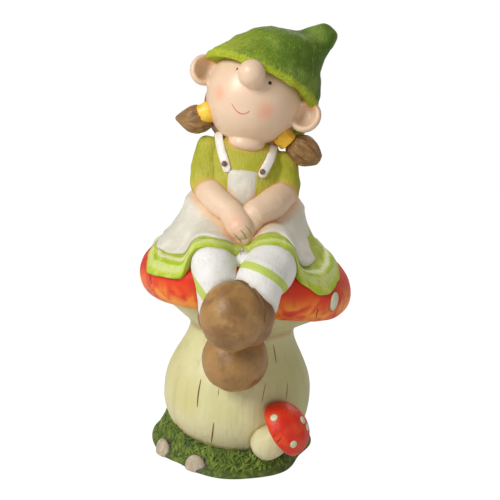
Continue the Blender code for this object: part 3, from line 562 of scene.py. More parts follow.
# %% Stones
stones = []
for angle in (-148.0, -115.0):
    a = math.radians(angle)
    reach = PLINTH_RADIUS - 0.0039
    place = (reach * math.cos(a), reach * math.sin(a), 0.0025)
    stone = ball(place, (0.0130, 0.0072, 0.0150), turn_by(spin=angle + 90.0), 32, 20)
    everything = stone.verts[:] + stone.edges[:] + stone.faces[:]
    cut = bmesh.ops.bisect_plane(stone, geom=everything, plane_co=(0, 0, 0), plane_no=(0, 0, -1),
                                 clear_outer=True)
    rim = [item for item in cut["geom_cut"] if isinstance(item, bmesh.types.BMEdge)]
    bmesh.ops.edgeloop_fill(stone, edges=rim)
    stones.append(settled(stone))
make_piece("stones", together(stones))

# %% Small toadstool
SMALL_CAP = 0.031
SMALL_CROWN = 0.027
SMALL_LENGTH = 0.048
SMALL_ROOT_Z = 0.042
a = math.radians(-64.5)
reach = stem_radius(SMALL_ROOT_Z) + 0.010
small_root = Vector((reach * math.cos(a), reach * math.sin(a), SMALL_ROOT_Z))
small_turn = turn_by(tilt=50.0) @ turn_by(tip=10.0)
small_place = Matrix.Translation(small_root) @ small_turn.to_4x4()
stem_place = Matrix.Translation((-0.0005, 0.0, -0.0030)) @ small_place
cap_place = Matrix.Translation((-0.0045, 0.0, 0.0003)) @ small_place @ Matrix.Scale(1.03, 4)
foot = 0.019
outline = [(0, -foot), (foot * 0.5, -foot * 0.97), (foot * 0.8, -foot * 0.75), (foot * 0.97, -foot * 0.4),
           (foot, 0.0), (foot * 0.95, 0.012), (foot * 0.86, 0.024), (foot * 0.76, 0.034), (0, 0.038)]
make_piece("small_stem", turned_form(outline, 48, stem_place), rounds=1, lumps=0.0008)

base = SMALL_LENGTH * 0.52
dome = [(SMALL_CAP * math.cos(t), base + SMALL_CROWN * math.sin(t)) for t in [k * 0.157 for k in range(10)]]
outline = [(0, base - 0.003), (SMALL_CAP * 0.62, base - 0.006)]
outline += [(SMALL_CAP * 0.93, base - 0.0045), (SMALL_CAP * 0.985, base - 0.0030)]
outline += dome + [(0, base + SMALL_CROWN)]
make_piece("small_cap", turned_form(outline, 64, cap_place), rounds=1, lumps=0.0006)

DOT_SIGHTS = ((0.0417, -0.13, 0.0890), (0.0652, -0.13, 0.0602), (0.0725, -0.13, 0.0890),
              (0.0788, -0.12, 0.0770))
dots = []
for place in DOT_SIGHTS:
    hit, normal = seen_from_camera(place, "small_cap")
    dots.append(ball(hit, (0.0042, 0.0042, 0.0012), normal.to_track_quat("Z", "Y").to_matrix(), 24, 16))
make_piece("small_spots", together(dots))
slits = [drawn_line([(0.0415, -0.13, 0.0655), (0.0455, -0.13, 0.0700)], 0.0006, "small_cap"),
         drawn_line([(0.0465, -0.13, 0.0600), (0.0515, -0.13, 0.0670)], 0.0007, "small_cap")]
make_piece("small_slits", together(slits))

# %% [markdown]
# ## The dress: two layers of cast cloth
#
# The skirt falls from the waist over the lap. A white apron lies on a green frill. Both
# layers lie on the cap at the sides and behind, hang over its rim beside the knees and
# climb over each knee. Real cloth would be simulated, but this is cast cloth with folds
# that a sculptor chose, so each hem is drawn by a few places round the body and the
# layer is lofted from the waist down to it. Heights are measured from the cap's own skin.

# %% Hems
# angle round the body, reach as a share of the cap's radius, height over the cap's skin
FRILL_HEM = (
    (0.0, 0.82, 0.004), (40.0, 0.76, 0.005), (65.0, 0.72, 0.004), (90.0, 0.76, 0.005),
    (118.0, 0.72, 0.004), (148.0, 0.76, 0.005), (182.0, 0.80, 0.004), (199.0, 0.885, 0.005),
    (214.0, 0.965, 0.003), (234.0, 0.995, -0.006), (243.0, 0.985, -0.002), (249.0, 0.950, 0.008),
    (256.0, 0.943, 0.014), (273.0, 0.800, 0.012), (288.5, 0.907, 0.018), (297.0, 0.950, 0.011),
    (303.0, 0.990, -0.008), (313.0, 1.040, -0.008), (322.0, 1.04, 0.001), (334.0, 0.995, 0.005),
    (350.0, 0.915, 0.008),
)
APRON_HEM = (
    (0.0, 0.70, 0.006), (45.0, 0.64, 0.008), (90.0, 0.62, 0.008), (135.0, 0.64, 0.008),
    (185.0, 0.76, 0.006), (204.0, 0.805, 0.006), (221.0, 0.790, 0.001), (230.0, 0.785, 0.003),
    (244.0, 0.765, 0.0150), (254.0, 0.790, 0.0200), (273.0, 0.660, 0.0090), (294.0, 0.690, 0.0250),
    (312.0, 0.835, 0.004), (333.0, 0.775, 0.004),
)
print("places on the frill's and the apron's hem:", len(FRILL_HEM), len(APRON_HEM))


def hem_place(angle, table):
    """Reach and height of a hem at an angle, flowing smoothly from fold to fold."""
    degrees = math.degrees(angle) % 360.0
    for here, after in zip(table, table[1:] + table[:1]):
        span = (after[0] - here[0]) % 360.0
        passed = (degrees - here[0]) % 360.0
        if passed < span:
            ease = (passed / span) ** 2 * (3.0 - 2.0 * passed / span)
            reach = CAP_RADIUS * (here[1] + (after[1] - here[1]) * ease)
            lift = here[2] + (after[2] - here[2]) * ease
            x = BODY_SHIFT + reach * math.cos(angle)
            return reach, cap_top(x, reach * math.sin(angle)) + lift
    raise ValueError("angle outside the hem")


# %% Thighs under the cloth
KNEE_SPREAD = 0.0325
THIGH_RADIUS = 0.0225
THIGH_SHOULDER = 1.24
RIGHT_LEG_EXTRA = 0.19


def leg_top(side):
    """Hip and knee of one leg; side is -1 for the leg on the left of the picture."""
    hip = Vector((BODY_SHIFT + side * (KNEE_SPREAD - 0.005), -0.020, SEAT_Z + 0.004))
    knee = Vector((BODY_SHIFT + side * KNEE_SPREAD + 0.003, -CAP_RADIUS + 0.022, SEAT_Z - 0.013))
    return hip, knee


def thigh_top(x, y):
    """Height of the thighs over a place, sloping off beside them."""
    highest = 0.0
    for side in (-1.0, 1.0):
        hip, knee = leg_top(side)
        way = knee - hip
        passed = ((x - hip.x) * way.x + (y - hip.y) * way.y) / (way.x ** 2 + way.y ** 2)
        nearest = hip + way * min(max(passed, 0.0), 1.0)
        beside = math.hypot(x - nearest.x, y - nearest.y) / (THIGH_RADIUS * THIGH_SHOULDER)
        if beside < 1.0:
            extra = RIGHT_LEG_EXTRA if side > 0.0 else 0.0
            girth = THIGH_RADIUS * (1.0 + extra * min(max(2.0 * passed, 0.0), 1.0))
            highest = max(highest, nearest.z + girth * math.sqrt(1.0 - beside ** 2))
    return highest


print("knee heights in mm:", [round(1000 * leg_top(side)[1].z, 1) for side in (-1.0, 1.0)])

# %% Layers
LEVELS = 24
DRESS_ROWS = LEVELS + 10
WAIST_HALF_WIDTH = 0.0665
WAIST_HALF_DEPTH = 0.038
FRONT_CROWDING = 0.45
VALLEY_ANGLE = 273.0
VALLEY_WIDTH = 11.0
FOLDS_ROUND = 7.0
FOLD_DEPTH = 0.0010
OVER_THE_SKIN = 0.003


def hem_row(down):
    """How far along the wrap map a height lies, from the waist (0) to the hem (1)."""
    return (4 + LEVELS * down) / DRESS_ROWS


def dress_layer(table, thickness, welt, hem, count=160):
    """One layer of cast cloth: a skin from the waist to the hem, and an underside."""
    rings = [pole((BODY_SHIFT, 0.0, WAIST_Z + 0.024), count)]
    for share, up in ((0.55, 0.022), (0.80, 0.016), (0.94, 0.008)):
        rings.append(ring((BODY_SHIFT, 0.0, WAIST_Z + up), (WAIST_HALF_WIDTH + thickness) * share,
                          (WAIST_HALF_DEPTH + thickness) * share, count))
    for level in range(LEVELS + 1):
        down = level / LEVELS
        points = []
        for k in range(count):
            even = 2.0 * math.pi * k / count
            angle = even - FRONT_CROWDING * math.cos(even)
            reach, hem_z = hem_place(angle, table)
            waist = math.hypot(WAIST_HALF_WIDTH * math.cos(angle), WAIST_HALF_DEPTH * math.sin(angle))
            front = max(0.0, -math.sin(angle)) ** 2
            valley = math.exp(-((math.degrees(angle) - VALLEY_ANGLE) / VALLEY_WIDTH) ** 2)
            flare = down ** (1.8 - 0.8 * abs(math.sin(angle)))
            drop = down ** (1.0 - 0.1 * front - 0.45 * valley)
            ridge = welt * (math.exp(-((down - 0.87) / 0.07) ** 2)
                            - 0.4 * math.exp(-((down - 0.74) / 0.04) ** 2))
            fold = FOLD_DEPTH * down * math.sin(FOLDS_ROUND * angle + 2.0 * down) * (1.0 - front)
            spread = thickness * (1.0 - 0.5 * down + 0.9 * max(0.0, math.sin(angle)))
            radius = waist + (reach - waist) * flare + spread + 0.4 * ridge + fold
            x = BODY_SHIFT + radius * math.cos(angle)
            y = radius * math.sin(angle)
            height = max(WAIST_Z + (hem_z - WAIST_Z) * drop + thickness * down,
                         max(cap_top(x, y), thigh_top(x, y)) + OVER_THE_SKIN + thickness)
            points.append(Vector((x, y, height + ridge)))
        rings.append(points)
    edge = rings[-1]
    for drop, draw in ((0.35, -0.0006), (0.75, 0.0), (1.0, 0.003)):
        inward = [Vector((BODY_SHIFT - p.x, -p.y, 0.0)).normalized() for p in edge]
        rings.append([p + n * draw - Vector((0.0, 0.0, hem * drop)) for p, n in zip(edge, inward)])
    tucked = [(BODY_SHIFT + (p.x - BODY_SHIFT) * 0.92, p.y * 0.92, p.z) for p in rings[-1]]
    rings.append([Vector((x, y, min(z, cap_top(x, y)) - 0.004)) for x, y, z in tucked])
    rings.append([Vector((BODY_SHIFT + (p.x - BODY_SHIFT) * 0.6, p.y * 0.6, SEAT_Z - 0.016)) for p in edge])
    rings.append(pole((BODY_SHIFT, 0.0, SEAT_Z - 0.02), count))
    return loft(rings)


make_piece("frill", dress_layer(FRILL_HEM, 0.0, 0.0032, 0.005), rounds=1, lumps=0.0007,
           lump_size=0.010, settle=4)
make_piece("apron", dress_layer(APRON_HEM, 0.003, 0.0, 0.0042), rounds=1, lumps=0.0010,
           lump_size=0.016, settle=2)

# %% [markdown]
# ## Legs and shoes
#
# The knees come over the front of the cap and the ankles cross, so one shoe rests on the
# other leg. Each stocking is a limb through hip, knee and ankle. A shoe is a ball for the
# toes and one or two more behind it, wrapped in one skin so that they flow into each other.

# %% Stockings
KNEE_GIRTH = 0.0224
ANKLE_GIRTH = 0.0180
TOE_RADIUS = 0.0313
TOE_HEIGHT = 0.0365
lower_toes = Vector((BODY_SHIFT + 0.003, -stem_radius(SEAT_Z - 0.1175) - 0.036, SEAT_Z - 0.1175))
upper_toes = Vector((BODY_SHIFT + 0.0005, -CAP_RADIUS - 0.024, SEAT_Z - 0.0545))


def stocking(side, ankle, share):
    """One stockinged leg from the hip over the knee to the ankle; share makes it thicker."""
    hip, knee = leg_top(side)
    knee = knee + Vector((-side * 0.0022, 0.0, 0.0))
    bend = knee.lerp(ankle, 0.35) + Vector((-0.006 if side > 0.0 else 0.003, -0.012, 0.0))
    thigh = limb([hip, knee], [THIGH_RADIUS, KNEE_GIRTH * share], 32)
    shin_path = flowing([knee, bend, ankle], 5)
    last = len(shin_path) - 1
    radii = [share * (KNEE_GIRTH + (ANKLE_GIRTH - KNEE_GIRTH) * (k / last) ** 1.5) for k in range(last + 1)]
    shin = limb(shin_path, radii, 32, side=Vector((1.0, 0.0, 0.0)))
    between = ball(Vector((BODY_SHIFT + 0.002, knee.y + 0.010, knee.z + 0.002)), (0.012, 0.014, 0.017))
    return together([thigh, shin, between])


make_piece("stocking_left", stocking(-1.0, lower_toes + Vector((-0.022, 0.000, 0.046)), 1.08),
           cells=0.0011, softness=8, lumps=0.0005)
make_piece("stocking_right", stocking(1.0, upper_toes + Vector((0.021, 0.016, 0.012)), 1.25),
           cells=0.0011, softness=8, lumps=0.0005)

# %% Shoes
heel = Vector((lower_toes.x - 0.004, -stem_radius(lower_toes.z) - 0.004, lower_toes.z + 0.006))
lower_shoe = [ball(lower_toes, (TOE_RADIUS * 1.16, TOE_RADIUS * 1.22, TOE_HEIGHT * 0.97)),
              ball(heel, (TOE_RADIUS * 0.86, TOE_RADIUS * 0.90, TOE_HEIGHT * 0.80)),
              ball(lower_toes + Vector((-0.0190, 0.003, 0.045)),
                   (TOE_RADIUS * 0.78, TOE_RADIUS * 0.84, TOE_HEIGHT * 0.62), turn_by(tilt=10.0))]
upper_shoe = [ball(upper_toes + Vector((-0.0030, 0.0, 0.0)),
                   (TOE_RADIUS * 1.07, TOE_RADIUS * 1.03, TOE_HEIGHT)),
              ball(upper_toes + Vector((0.0120, 0.011, 0.002)),
                   (TOE_RADIUS * 0.92, TOE_RADIUS * 0.86, TOE_HEIGHT * 0.99), turn_by(tilt=-12.0))]
for name, shoe, softness in (("shoe_lower", lower_shoe, 5), ("shoe_upper", upper_shoe, 4)):
    make_piece(name, together(shoe), cells=0.0011, softness=softness, lumps=0.0011,
               lump_size=0.014)

# %% [markdown]
# ## The body in its blouse
#
# The chest is a loft of ellipses whose shoulders slope down to one side. The short
# sleeves are limbs that widen towards the hem, in one skin with the chest.

# %% Blouse
SLOPE = math.tan(math.radians(7.0))
# height, half width, half depth, share of the shoulders' slope
BODY_SECTIONS = (
    (SEAT_Z - 0.010, 0.0665, 0.046, 0.0), (WAIST_Z, 0.055, 0.042, 0.0), (CHEST_Z, 0.047, 0.038, 0.3),
    (SHOULDER_Z - 0.008, 0.046, 0.035, 1.0), (SHOULDER_Z + 0.009, 0.037, 0.030, 1.2),
    (COLLAR_Z, 0.024, 0.022, 1.0),
)


def on_body(x, z, side):
    """A place on the blouse, x from the body's middle; side is -1 in front and 1 behind."""
    for low, high in zip(BODY_SECTIONS, BODY_SECTIONS[1:]):
        if low[0] <= z <= high[0]:
            share = (z - low[0]) / (high[0] - low[0])
            half_x, half_y, lean = (low[i] + (high[i] - low[i]) * share for i in (1, 2, 3))
            depth = half_y * math.sqrt(max(1.0 - (x / half_x) ** 2, 0.0))
            return Vector((BODY_SHIFT + x, side * depth, z - lean * SLOPE * x))
    raise ValueError("height outside the body")


def arm_points(side):
    """Shoulder, elbow, wrist and knuckles; side is -1 for the arm on the left of the picture."""
    shoulder = Vector((BODY_SHIFT - 0.0015 + side * 0.042, 0.0, SHOULDER_Z - 0.005 - 0.042 * side * SLOPE))
    elbow = shoulder + Vector((0.0, -0.012, -0.041))
    wrist = Vector((BODY_SHIFT + side * 0.013, -0.059, WAIST_Z - 0.004))
    knuckles = Vector((BODY_SHIFT + side * 0.0025, -0.072, WAIST_Z - 0.017))
    return shoulder, elbow, wrist, knuckles


rings = [pole((BODY_SHIFT, 0.0, SEAT_Z - 0.012), 48)]
for z, half_x, half_y, lean in BODY_SECTIONS:
    rings.append(ring((BODY_SHIFT, 0.0, z), half_x, half_y, 48,
                      lambda a, w=half_x * lean: -SLOPE * w * math.cos(a)))
rings.append(pole((BODY_SHIFT, 0.0, COLLAR_Z + 0.002), 48))
blouse = [loft(rings)]
for side in (-1.0, 1.0):
    shoulder, elbow, wrist, knuckles = arm_points(side)
    middle = shoulder.lerp(elbow, 0.5) + Vector((side * 0.0015, 0.0, 0.0))
    hem = elbow.lerp(shoulder, 0.24 if side > 0.0 else 0.08)
    blouse.append(limb([shoulder, middle, hem], [0.0172, 0.0198, 0.0204], 32, side=Vector((1.0, 0.0, 0.0)),
                       ends=(0.3, 0.6, 0.9)))
make_piece("blouse", together(blouse), cells=0.0012, softness=6, lumps=0.0008, lump_size=0.012)

# %% [markdown]
# ## Bare arms and folded hands
#
# The forearms meet in the lap, where one hand lies on the other. Four short limbs make
# the fingers. The skin around all of them is thin enough to keep the grooves between, and
# thin dark lines of painted shade deepen them. A line of painted shade of the same kind
# marks the crease of the upper shoe.

# %% Arms
arms = []
for side in (-1.0, 1.0):
    shoulder, elbow, wrist, knuckles = arm_points(side)
    low_elbow = elbow + (Vector((0.0, -0.002, 0.008)) if side > 0.0 else Vector((0.0, -0.003, -0.001)))
    bent = low_elbow.lerp(wrist, 0.5) + Vector((side * 0.003, -0.004, 0.0))
    drop = Vector((0.0, 0.004, -0.005)) if side > 0 else Vector((0.0, -0.004, 0.0))
    girth = 0.0190 if side > 0.0 else 0.0168
    arms.append(limb(flowing([low_elbow, bent, wrist]), [girth - 0.0004 * k for k in range(9)], 28))
    arms.append(limb([wrist, knuckles + drop], [0.0142, 0.0155], 28))
knuckles = arm_points(-1.0)[3]
ahead = Vector((0.30, -0.42, -0.86)).normalized()
across = ahead.cross(Vector((0.0, -1.0, 0.45))).normalized()
outwards = across.cross(ahead)
palm_turn = Matrix((across, outwards, ahead)).transposed()
arms.append(ball(knuckles + ahead * 0.004 - outwards * 0.001, (0.0175, 0.0125, 0.0195), palm_turn))
for finger in range(4):
    spread = finger - 1.5
    root = knuckles + across * 0.0068 * spread + ahead * 0.004 + outwards * (0.0040 - 0.0010 * abs(spread))
    reach = 0.0225 - 0.0016 * abs(spread - 0.3)
    fingertip = knuckles + across * 0.0042 * spread + ahead * reach - outwards * 0.001
    arms.append(limb(flowing([root, root.lerp(fingertip, 0.5) + outwards * 0.0012, fingertip], 3),
                     [0.0050 - 0.00016 * k for k in range(7)], 16, side=outwards))
make_piece("arms", together(arms), cells=0.0007, softness=3, lumps=0.0003)

# %% Painted shade lines between the fingers and over the shoe
FINGER_SHADE_LINES = (
    ((-0.0173, -0.083, 0.2757), (-0.0118, -0.083, 0.2715), (-0.0072, -0.083, 0.2662)),
    ((-0.0098, -0.083, 0.2800), (-0.0056, -0.083, 0.2762), (-0.0025, -0.083, 0.2710)),
    ((-0.0051, -0.083, 0.2855), (-0.0004, -0.083, 0.2810), (0.0032, -0.083, 0.2756)),
)
FINGER_SHADE_LINE_GIRTHS = (0.00042, 0.00042, 0.00034)
finger_crease_shade = [drawn_line(places, girth, "arms") for places, girth in zip(FINGER_SHADE_LINES, FINGER_SHADE_LINE_GIRTHS)]
make_piece("finger_crease_shade", together(finger_crease_shade))

SHOE_CREASE_SHADE_LINE = ((-0.0066, -0.165, 0.2476), (0.0073, -0.165, 0.2405), (0.0167, -0.165, 0.2288),
               (0.0216, -0.165, 0.2178), (0.0221, -0.165, 0.2053))
make_piece("shoe_crease_shade", drawn_line(SHOE_CREASE_SHADE_LINE, 0.0012, "shoe_upper"))

# %% [markdown]
# ## Bib, straps and buttons
#
# The bib is the top of the apron. A strap runs over each shoulder and ends in a brown
# button. The straps are flat limbs that lie on the blouse from front to back.

# %% Bib and straps
# height, half width, half thickness
BIB_SECTIONS = (
    (WAIST_Z - 0.012, 0.020, 0.0160), (WAIST_Z, 0.020, 0.0135), (WAIST_Z + 0.016, 0.019, 0.0110),
    (CHEST_Z + 0.002, 0.0175, 0.0085), (CHEST_Z + 0.0055, 0.0172, 0.0082),
)
middle = (BODY_SHIFT - 0.0035, -0.032)
rings = [pole((*middle, WAIST_Z - 0.014), 48)]
for z, half, proud in BIB_SECTIONS:
    rings.append(ring((*middle, z), half, proud, 48))
rings.append(pole((*middle, CHEST_Z + 0.0075), 48))
make_piece("bib", loft(rings), rounds=1, lumps=0.0005)

straps = []
buttons = []
for side in (-1.0, 1.0):
    draw_in = 0.0045 if side > 0.0 else 0.0
    crest_x = BODY_SHIFT + side * 0.0340 - 0.0015 - draw_in
    crest = Vector((crest_x, -0.004, SHOULDER_Z + 0.0145 - 0.040 * side * SLOPE))
    foot_place = on_body(side * 0.0200 - 0.0025, CHEST_Z + 0.005, -1.0)
    path = [on_body(side * 0.026, WAIST_Z, 1.0), on_body(side * 0.029, CHEST_Z, 1.0),
            on_body(side * 0.033, SHOULDER_Z - 0.009, 1.0), crest,
            on_body(side * 0.0300 - 0.0015 - draw_in * 0.8, SHOULDER_Z + 0.002, -1.0),
            on_body(side * 0.0250 - 0.0020 - draw_in * 0.4, CHEST_Z + 0.0145, -1.0), foot_place]
    core = Vector((BODY_SHIFT + side * 0.012, 0.0, CHEST_Z))
    path = flowing([p + (p - core).normalized() * 0.0014 for p in path], 4)
    straps.append(limb(path, [0.0052] * len(path), 16, flat=0.36, core=core))
    button = foot_place + Vector((0.0014 * side - 0.0018, -0.0034, 0.0038 - 0.0014 * side))
    buttons.append(ball(button, (0.0032, 0.0016, 0.0032), around=24, along=14))
make_piece("straps", together(straps), rounds=1, lumps=0.0003)
make_piece("buttons", together(buttons))

# %% [markdown]
# ## The head
#
# The head tips back and leans to one side, so everything on it is placed in the head's
# own directions. Ball, nose, ears, chin roll and neck become one skin. An ear is a spun
# dish: a rounded rim with a hollow inside.

# %% Head directions
HEAD_TURNED = turn_by(tilt=20.0) @ turn_by(tip=-20.0) @ turn_by(spin=-8.0)
HAT_TURNED = turn_by(tilt=20.0)
EAR_RADIUS = 0.0178
NOSE_RADIUS = 0.0150


def on_head(x, y, z):
    """A place given in the head's own directions."""
    return HEAD_CENTRE + HEAD_TURNED @ Vector((x, y, z))


def along_head(azimuth, height, reach):
    """A place over the head's skin, by the angle round it and the angle above its middle."""
    level = math.cos(math.radians(height))
    x = HEAD_RADIUS * level * math.sin(math.radians(azimuth))
    y = -HEAD_RADIUS * level * math.cos(math.radians(azimuth))
    return on_head(x * reach, y * reach, HEAD_TALL * math.sin(math.radians(height)) * reach)


print("crown of the head in mm:", [round(1000 * value, 1) for value in on_head(0.0, 0.0, HEAD_TALL)])

# %% Head with nose and ears
def ear(side, size, drop):
    """A dish of an ear: spun about its own axis, then turned to face forwards."""
    radius = EAR_RADIUS * size
    profile = [(0.0, -0.0080), (0.45, -0.0076), (0.80, -0.0056), (0.97, -0.0012), (1.00, 0.0022),
               (0.95, 0.0052), (0.84, 0.0066), (0.73, 0.0060), (0.63, 0.0034), (0.54, -0.0006),
               (0.30, -0.0030), (0.0, -0.0034)]
    place = on_head(side * (HEAD_RADIUS + EAR_RADIUS * 0.48), -0.010, drop)
    face_forward = HEAD_TURNED @ turn_by(spin=26.0 if side < 0.0 else -10.0) @ turn_by(tip=90.0)
    stretched = Matrix.Diagonal((radius * 0.94, radius, 1.0, 1.0))
    return turned_form(profile, 48, Matrix.Translation(place) @ face_forward.to_4x4() @ stretched)


chin = Vector((BODY_SHIFT - 0.003, -0.020, COLLAR_Z - 0.003))
neck = [Vector((BODY_SHIFT, 0.0, SHOULDER_Z)), HEAD_CENTRE - Vector((0.0, 0.0, 0.02))]
skin = [ball(HEAD_CENTRE, (HEAD_RADIUS, HEAD_RADIUS, HEAD_TALL), HEAD_TURNED, 96, 56),
        ball(along_head(-4.5, 2.0, 1.12), (NOSE_RADIUS, NOSE_RADIUS, NOSE_RADIUS), HEAD_TURNED),
        ball(chin, (0.0205, 0.017, 0.0105), turn_by(tilt=5.0)),
        limb(neck, [0.022, 0.026], 32, side=Vector((1.0, 0.0, 0.0))),
        ear(-1.0, 1.0, 0.001), ear(1.0, 1.08, -0.004)]
make_piece("head", together(skin), cells=0.0011, softness=4)

# %% Eyes and smile
# line of sight and half sizes of each eye; the left one is seen from the side
EYES = (((-0.0269, -0.045, 0.4475), (0.0009, 0.0008, 0.0019)),
        ((0.0095, -0.045, 0.4355), (0.0021, 0.0009, 0.0021)))
eyes = []
for place, radii in EYES:
    hit, normal = seen_from_camera(place, "head")
    turn = normal.to_track_quat("-Y", "Z").to_matrix()
    eyes.append(ball(hit - normal * 0.0002, radii, turn, 24, 14))
make_piece("eyes", together(eyes))

SMILE = ((-0.0299, -0.05, 0.4112), (-0.0249, -0.05, 0.4042), (-0.0183, -0.05, 0.4008),
         (-0.0127, -0.05, 0.4023), (-0.0097, -0.05, 0.4050))
make_piece("smile", drawn_line(SMILE, 0.00055, "head"))

# %% [markdown]
# ## Hair in two bunches
#
# Under the hat the hair shows as a strip beside the face and as two short bunches, each
# held by a yellow band. The sculptor combed deep grooves into them. A groove is made in
# each ring of the loft, and it curls as it runs along, so the strands look drawn to the tip.

# %% Hair
hair_radii = (HEAD_RADIUS * 1.01, 0.040, HEAD_TALL * 0.86)
hair_cap = ball(on_head(0.0, 0.018, -0.010), hair_radii, HEAD_TURNED, 96, 56)
make_piece("hair_cap", hair_cap, lumps=0.0008)

BUNCH_STEPS = 144
BUNCH_ROWS = 24
# angle of the band round the head, slant of the bunch, its size, bluntness and curl, slant
# of the band, and how far the bunch's root is shifted
BUNCHES = (
    (203.0, 181.0, 0.90, 0.80, 0.9, 205.0, (0.0025, 0.0, -0.0030)),
    (-50.0, -26.0, 1.00, 0.74, -0.9, -42.0, (0.0020, 0.0, 0.0005)),
)
bunches = []
bands = []
for angle, slant, size, blunt, curl, band_slant, shift in BUNCHES:
    a = math.radians(angle)
    b = math.radians(slant)
    reach = HEAD_RADIUS + 0.004
    band = HEAD_CENTRE + Vector((reach * math.cos(a), -0.006, reach * math.sin(a)))
    root = band + Vector((0.004, 0.0, -0.0060)) + Vector(shift)
    outward = Vector((math.cos(b), 0.06, math.sin(b))).normalized()
    level = outward.cross(Vector((0.0, 1.0, 0.0))).normalized()
    depth = outward.cross(level)
    rings = [pole(root - outward * 0.004, BUNCH_STEPS)]
    for step in range(BUNCH_ROWS + 1):
        share = step / BUNCH_ROWS
        radius = 0.0162 * size * math.sin(math.pi * (0.14 + blunt * share) ** 0.90)
        points = []
        for k in range(BUNCH_STEPS):
            turn = 2.0 * math.pi * k / BUNCH_STEPS
            groove = (1.0 + 0.045 * math.cos(9.0 * (turn + curl * share))
                      + 0.03 * math.cos(17.0 * turn - 2.0 * share))
            points.append(root + outward * (0.0395 * share) + level * radius * groove * 1.08 * math.cos(turn)
                          + depth * radius * groove * math.sin(turn))
        rings.append(points)
    rings.append(pole(root + outward * 0.0410, BUNCH_STEPS))
    bunches.append(loft(rings))
    c = math.radians(band_slant)
    through = Vector((math.cos(c), 0.06, math.sin(c))).normalized()
    middle = band + Vector((0.0, -0.004, -0.001))
    for place, radius in ((middle - through * 0.0030, 0.0118), (middle + through * 0.0022, 0.0112)):
        bands.append(limb([place - through * 0.0014, place + through * 0.0014], [radius, radius], 32,
                          flat=0.9, side=Vector((0.0, 1.0, 0.0)), ends=(0.15, 0.3)))
make_piece("bunches", together(bunches))
make_piece("hair_bands", together(bands), cells=0.0009, softness=4)

# %% [markdown]
# ## The hat
#
# The felt hat is pulled over the head: its brim rises over the nose, hangs low behind and
# its peak bends over to one side. It is a loft in the head's lean, where every ring has
# its height, its shift towards the peak, its radius and its share of the brim's slope.

# %% Hat
def brim_lift(angle):
    """The brim rises a little on the left and in front, and hangs low behind."""
    fall = 0.0235 if math.sin(angle) < 0.0 else 0.0400
    behind_ear = 0.0120 * max(0.0, math.cos(angle - 0.7)) ** 4
    return 0.0050 * max(0.0, -math.cos(angle)) ** 2 - fall * math.sin(angle) - behind_ear


def hat_ring(z, shift, radius, slope):
    """One ring of the hat; the brim is flared behind on the right and drawn out on the left."""
    centre = (shift * 0.043, 0.003 + 0.009 * shift, z)
    points = ring(centre, radius, radius * 0.91, HAT_STEPS, lambda a: slope * brim_lift(a))
    for place in points:
        if place.x > 0.0:
            place.x *= 1.0 + 0.26 * max(0.0, place.y / 0.065) * slope
        else:
            place.x *= 1.0 + 0.085 * slope ** 3 - 0.045 * math.sin(math.pi * slope)
    return points


HAT_REACH = HEAD_RADIUS + 0.011
HAT_FLOOR = 0.0110
HAT_TOP = 0.083
HAT_STEPS = 72
# share of the height, shift towards the peak, share of the reach, share of the brim's slope
CROWN = (
    (0.02, 0.10, 1.034, 1.00), (0.08, 0.10, 1.022, 0.97), (0.13, 0.10, 1.002, 0.86), (0.22, 0.09, 1.00, 0.66),
    (0.40, 0.11, 0.905, 0.34), (0.56, 0.15, 0.800, 0.14), (0.72, 0.22, 0.690, 0.04), (0.86, 0.36, 0.600, 0.0),
    (0.945, 0.58, 0.480, 0.0), (1.0, 0.82, 0.350, 0.0),
)
# the same for the bent peak, whose rings are level
PEAK_RISE = 0.021
PEAK = ((0.20, 0.92, 0.300), (0.48, 0.97, 0.260), (0.74, 1.01, 0.205), (0.92, 1.03, 0.125))
rings = [pole((0.0, 0.004, HAT_FLOOR + 0.004), HAT_STEPS),
         hat_ring(HAT_FLOOR - 0.001, 0.05, HEAD_RADIUS * 0.80, 1.0),
         hat_ring(HAT_FLOOR - 0.003, 0.08, HEAD_RADIUS * 1.03, 1.0),
         hat_ring(HAT_FLOOR - 0.0055, 0.10, HAT_REACH * 0.985, 1.0),
         hat_ring(HAT_FLOOR - 0.0040, 0.10, HAT_REACH * 1.015, 1.0)]
rings += [hat_ring(HAT_FLOOR + (HAT_TOP - HAT_FLOOR) * share, shift, HAT_REACH * radius, slope)
          for share, shift, radius, slope in CROWN]
rings += [hat_ring(HAT_TOP + PEAK_RISE * share, shift, HAT_REACH * radius, 0.0)
          for share, shift, radius in PEAK]
rings.append(pole((0.0447, 0.012, HAT_TOP + PEAK_RISE), HAT_STEPS))
hat = loft(rings)
bmesh.ops.transform(hat, matrix=Matrix.Translation(HEAD_CENTRE) @ HAT_TURNED.to_4x4(), verts=hat.verts)
make_piece("hat", hat, rounds=2, lumps=0.0016, lump_size=0.013)

# %% [markdown]
# ## Cracks
#
# The sculptor cut a few short cracks into the stem and the rim of the cap. Each is a thin
# dark line, drawn along lines of sight from the camera onto the surface.

# %% Cracks in stem and cap
STEM_CRACKS = (
    ((-0.0408, -0.085, 0.1080), (-0.0428, -0.080, 0.0890), (-0.0430, -0.080, 0.0735)),
    ((-0.0232, -0.085, 0.0580), (-0.0236, -0.085, 0.0460), (-0.0242, -0.085, 0.0345)),
    ((0.0362, -0.080, 0.1532), (0.0388, -0.080, 0.1430), (0.0408, -0.080, 0.1326)),
    ((0.0560, -0.070, 0.1060), (0.0564, -0.070, 0.0960), (0.0562, -0.070, 0.0870)),
    ((0.0310, -0.085, 0.1095), (0.0298, -0.085, 0.0980), (0.0288, -0.085, 0.0860)),
    ((-0.0201, -0.085, 0.0990), (-0.0203, -0.085, 0.0950), (-0.0205, -0.085, 0.0910)),
)
STEM_CRACK_GIRTHS = (0.0009, 0.0008, 0.0006, 0.0005, 0.0004, 0.0004)
cracks = [drawn_line(places, girth, "stem") for places, girth in zip(STEM_CRACKS, STEM_CRACK_GIRTHS)]
make_piece("stem_cracks", together(cracks))

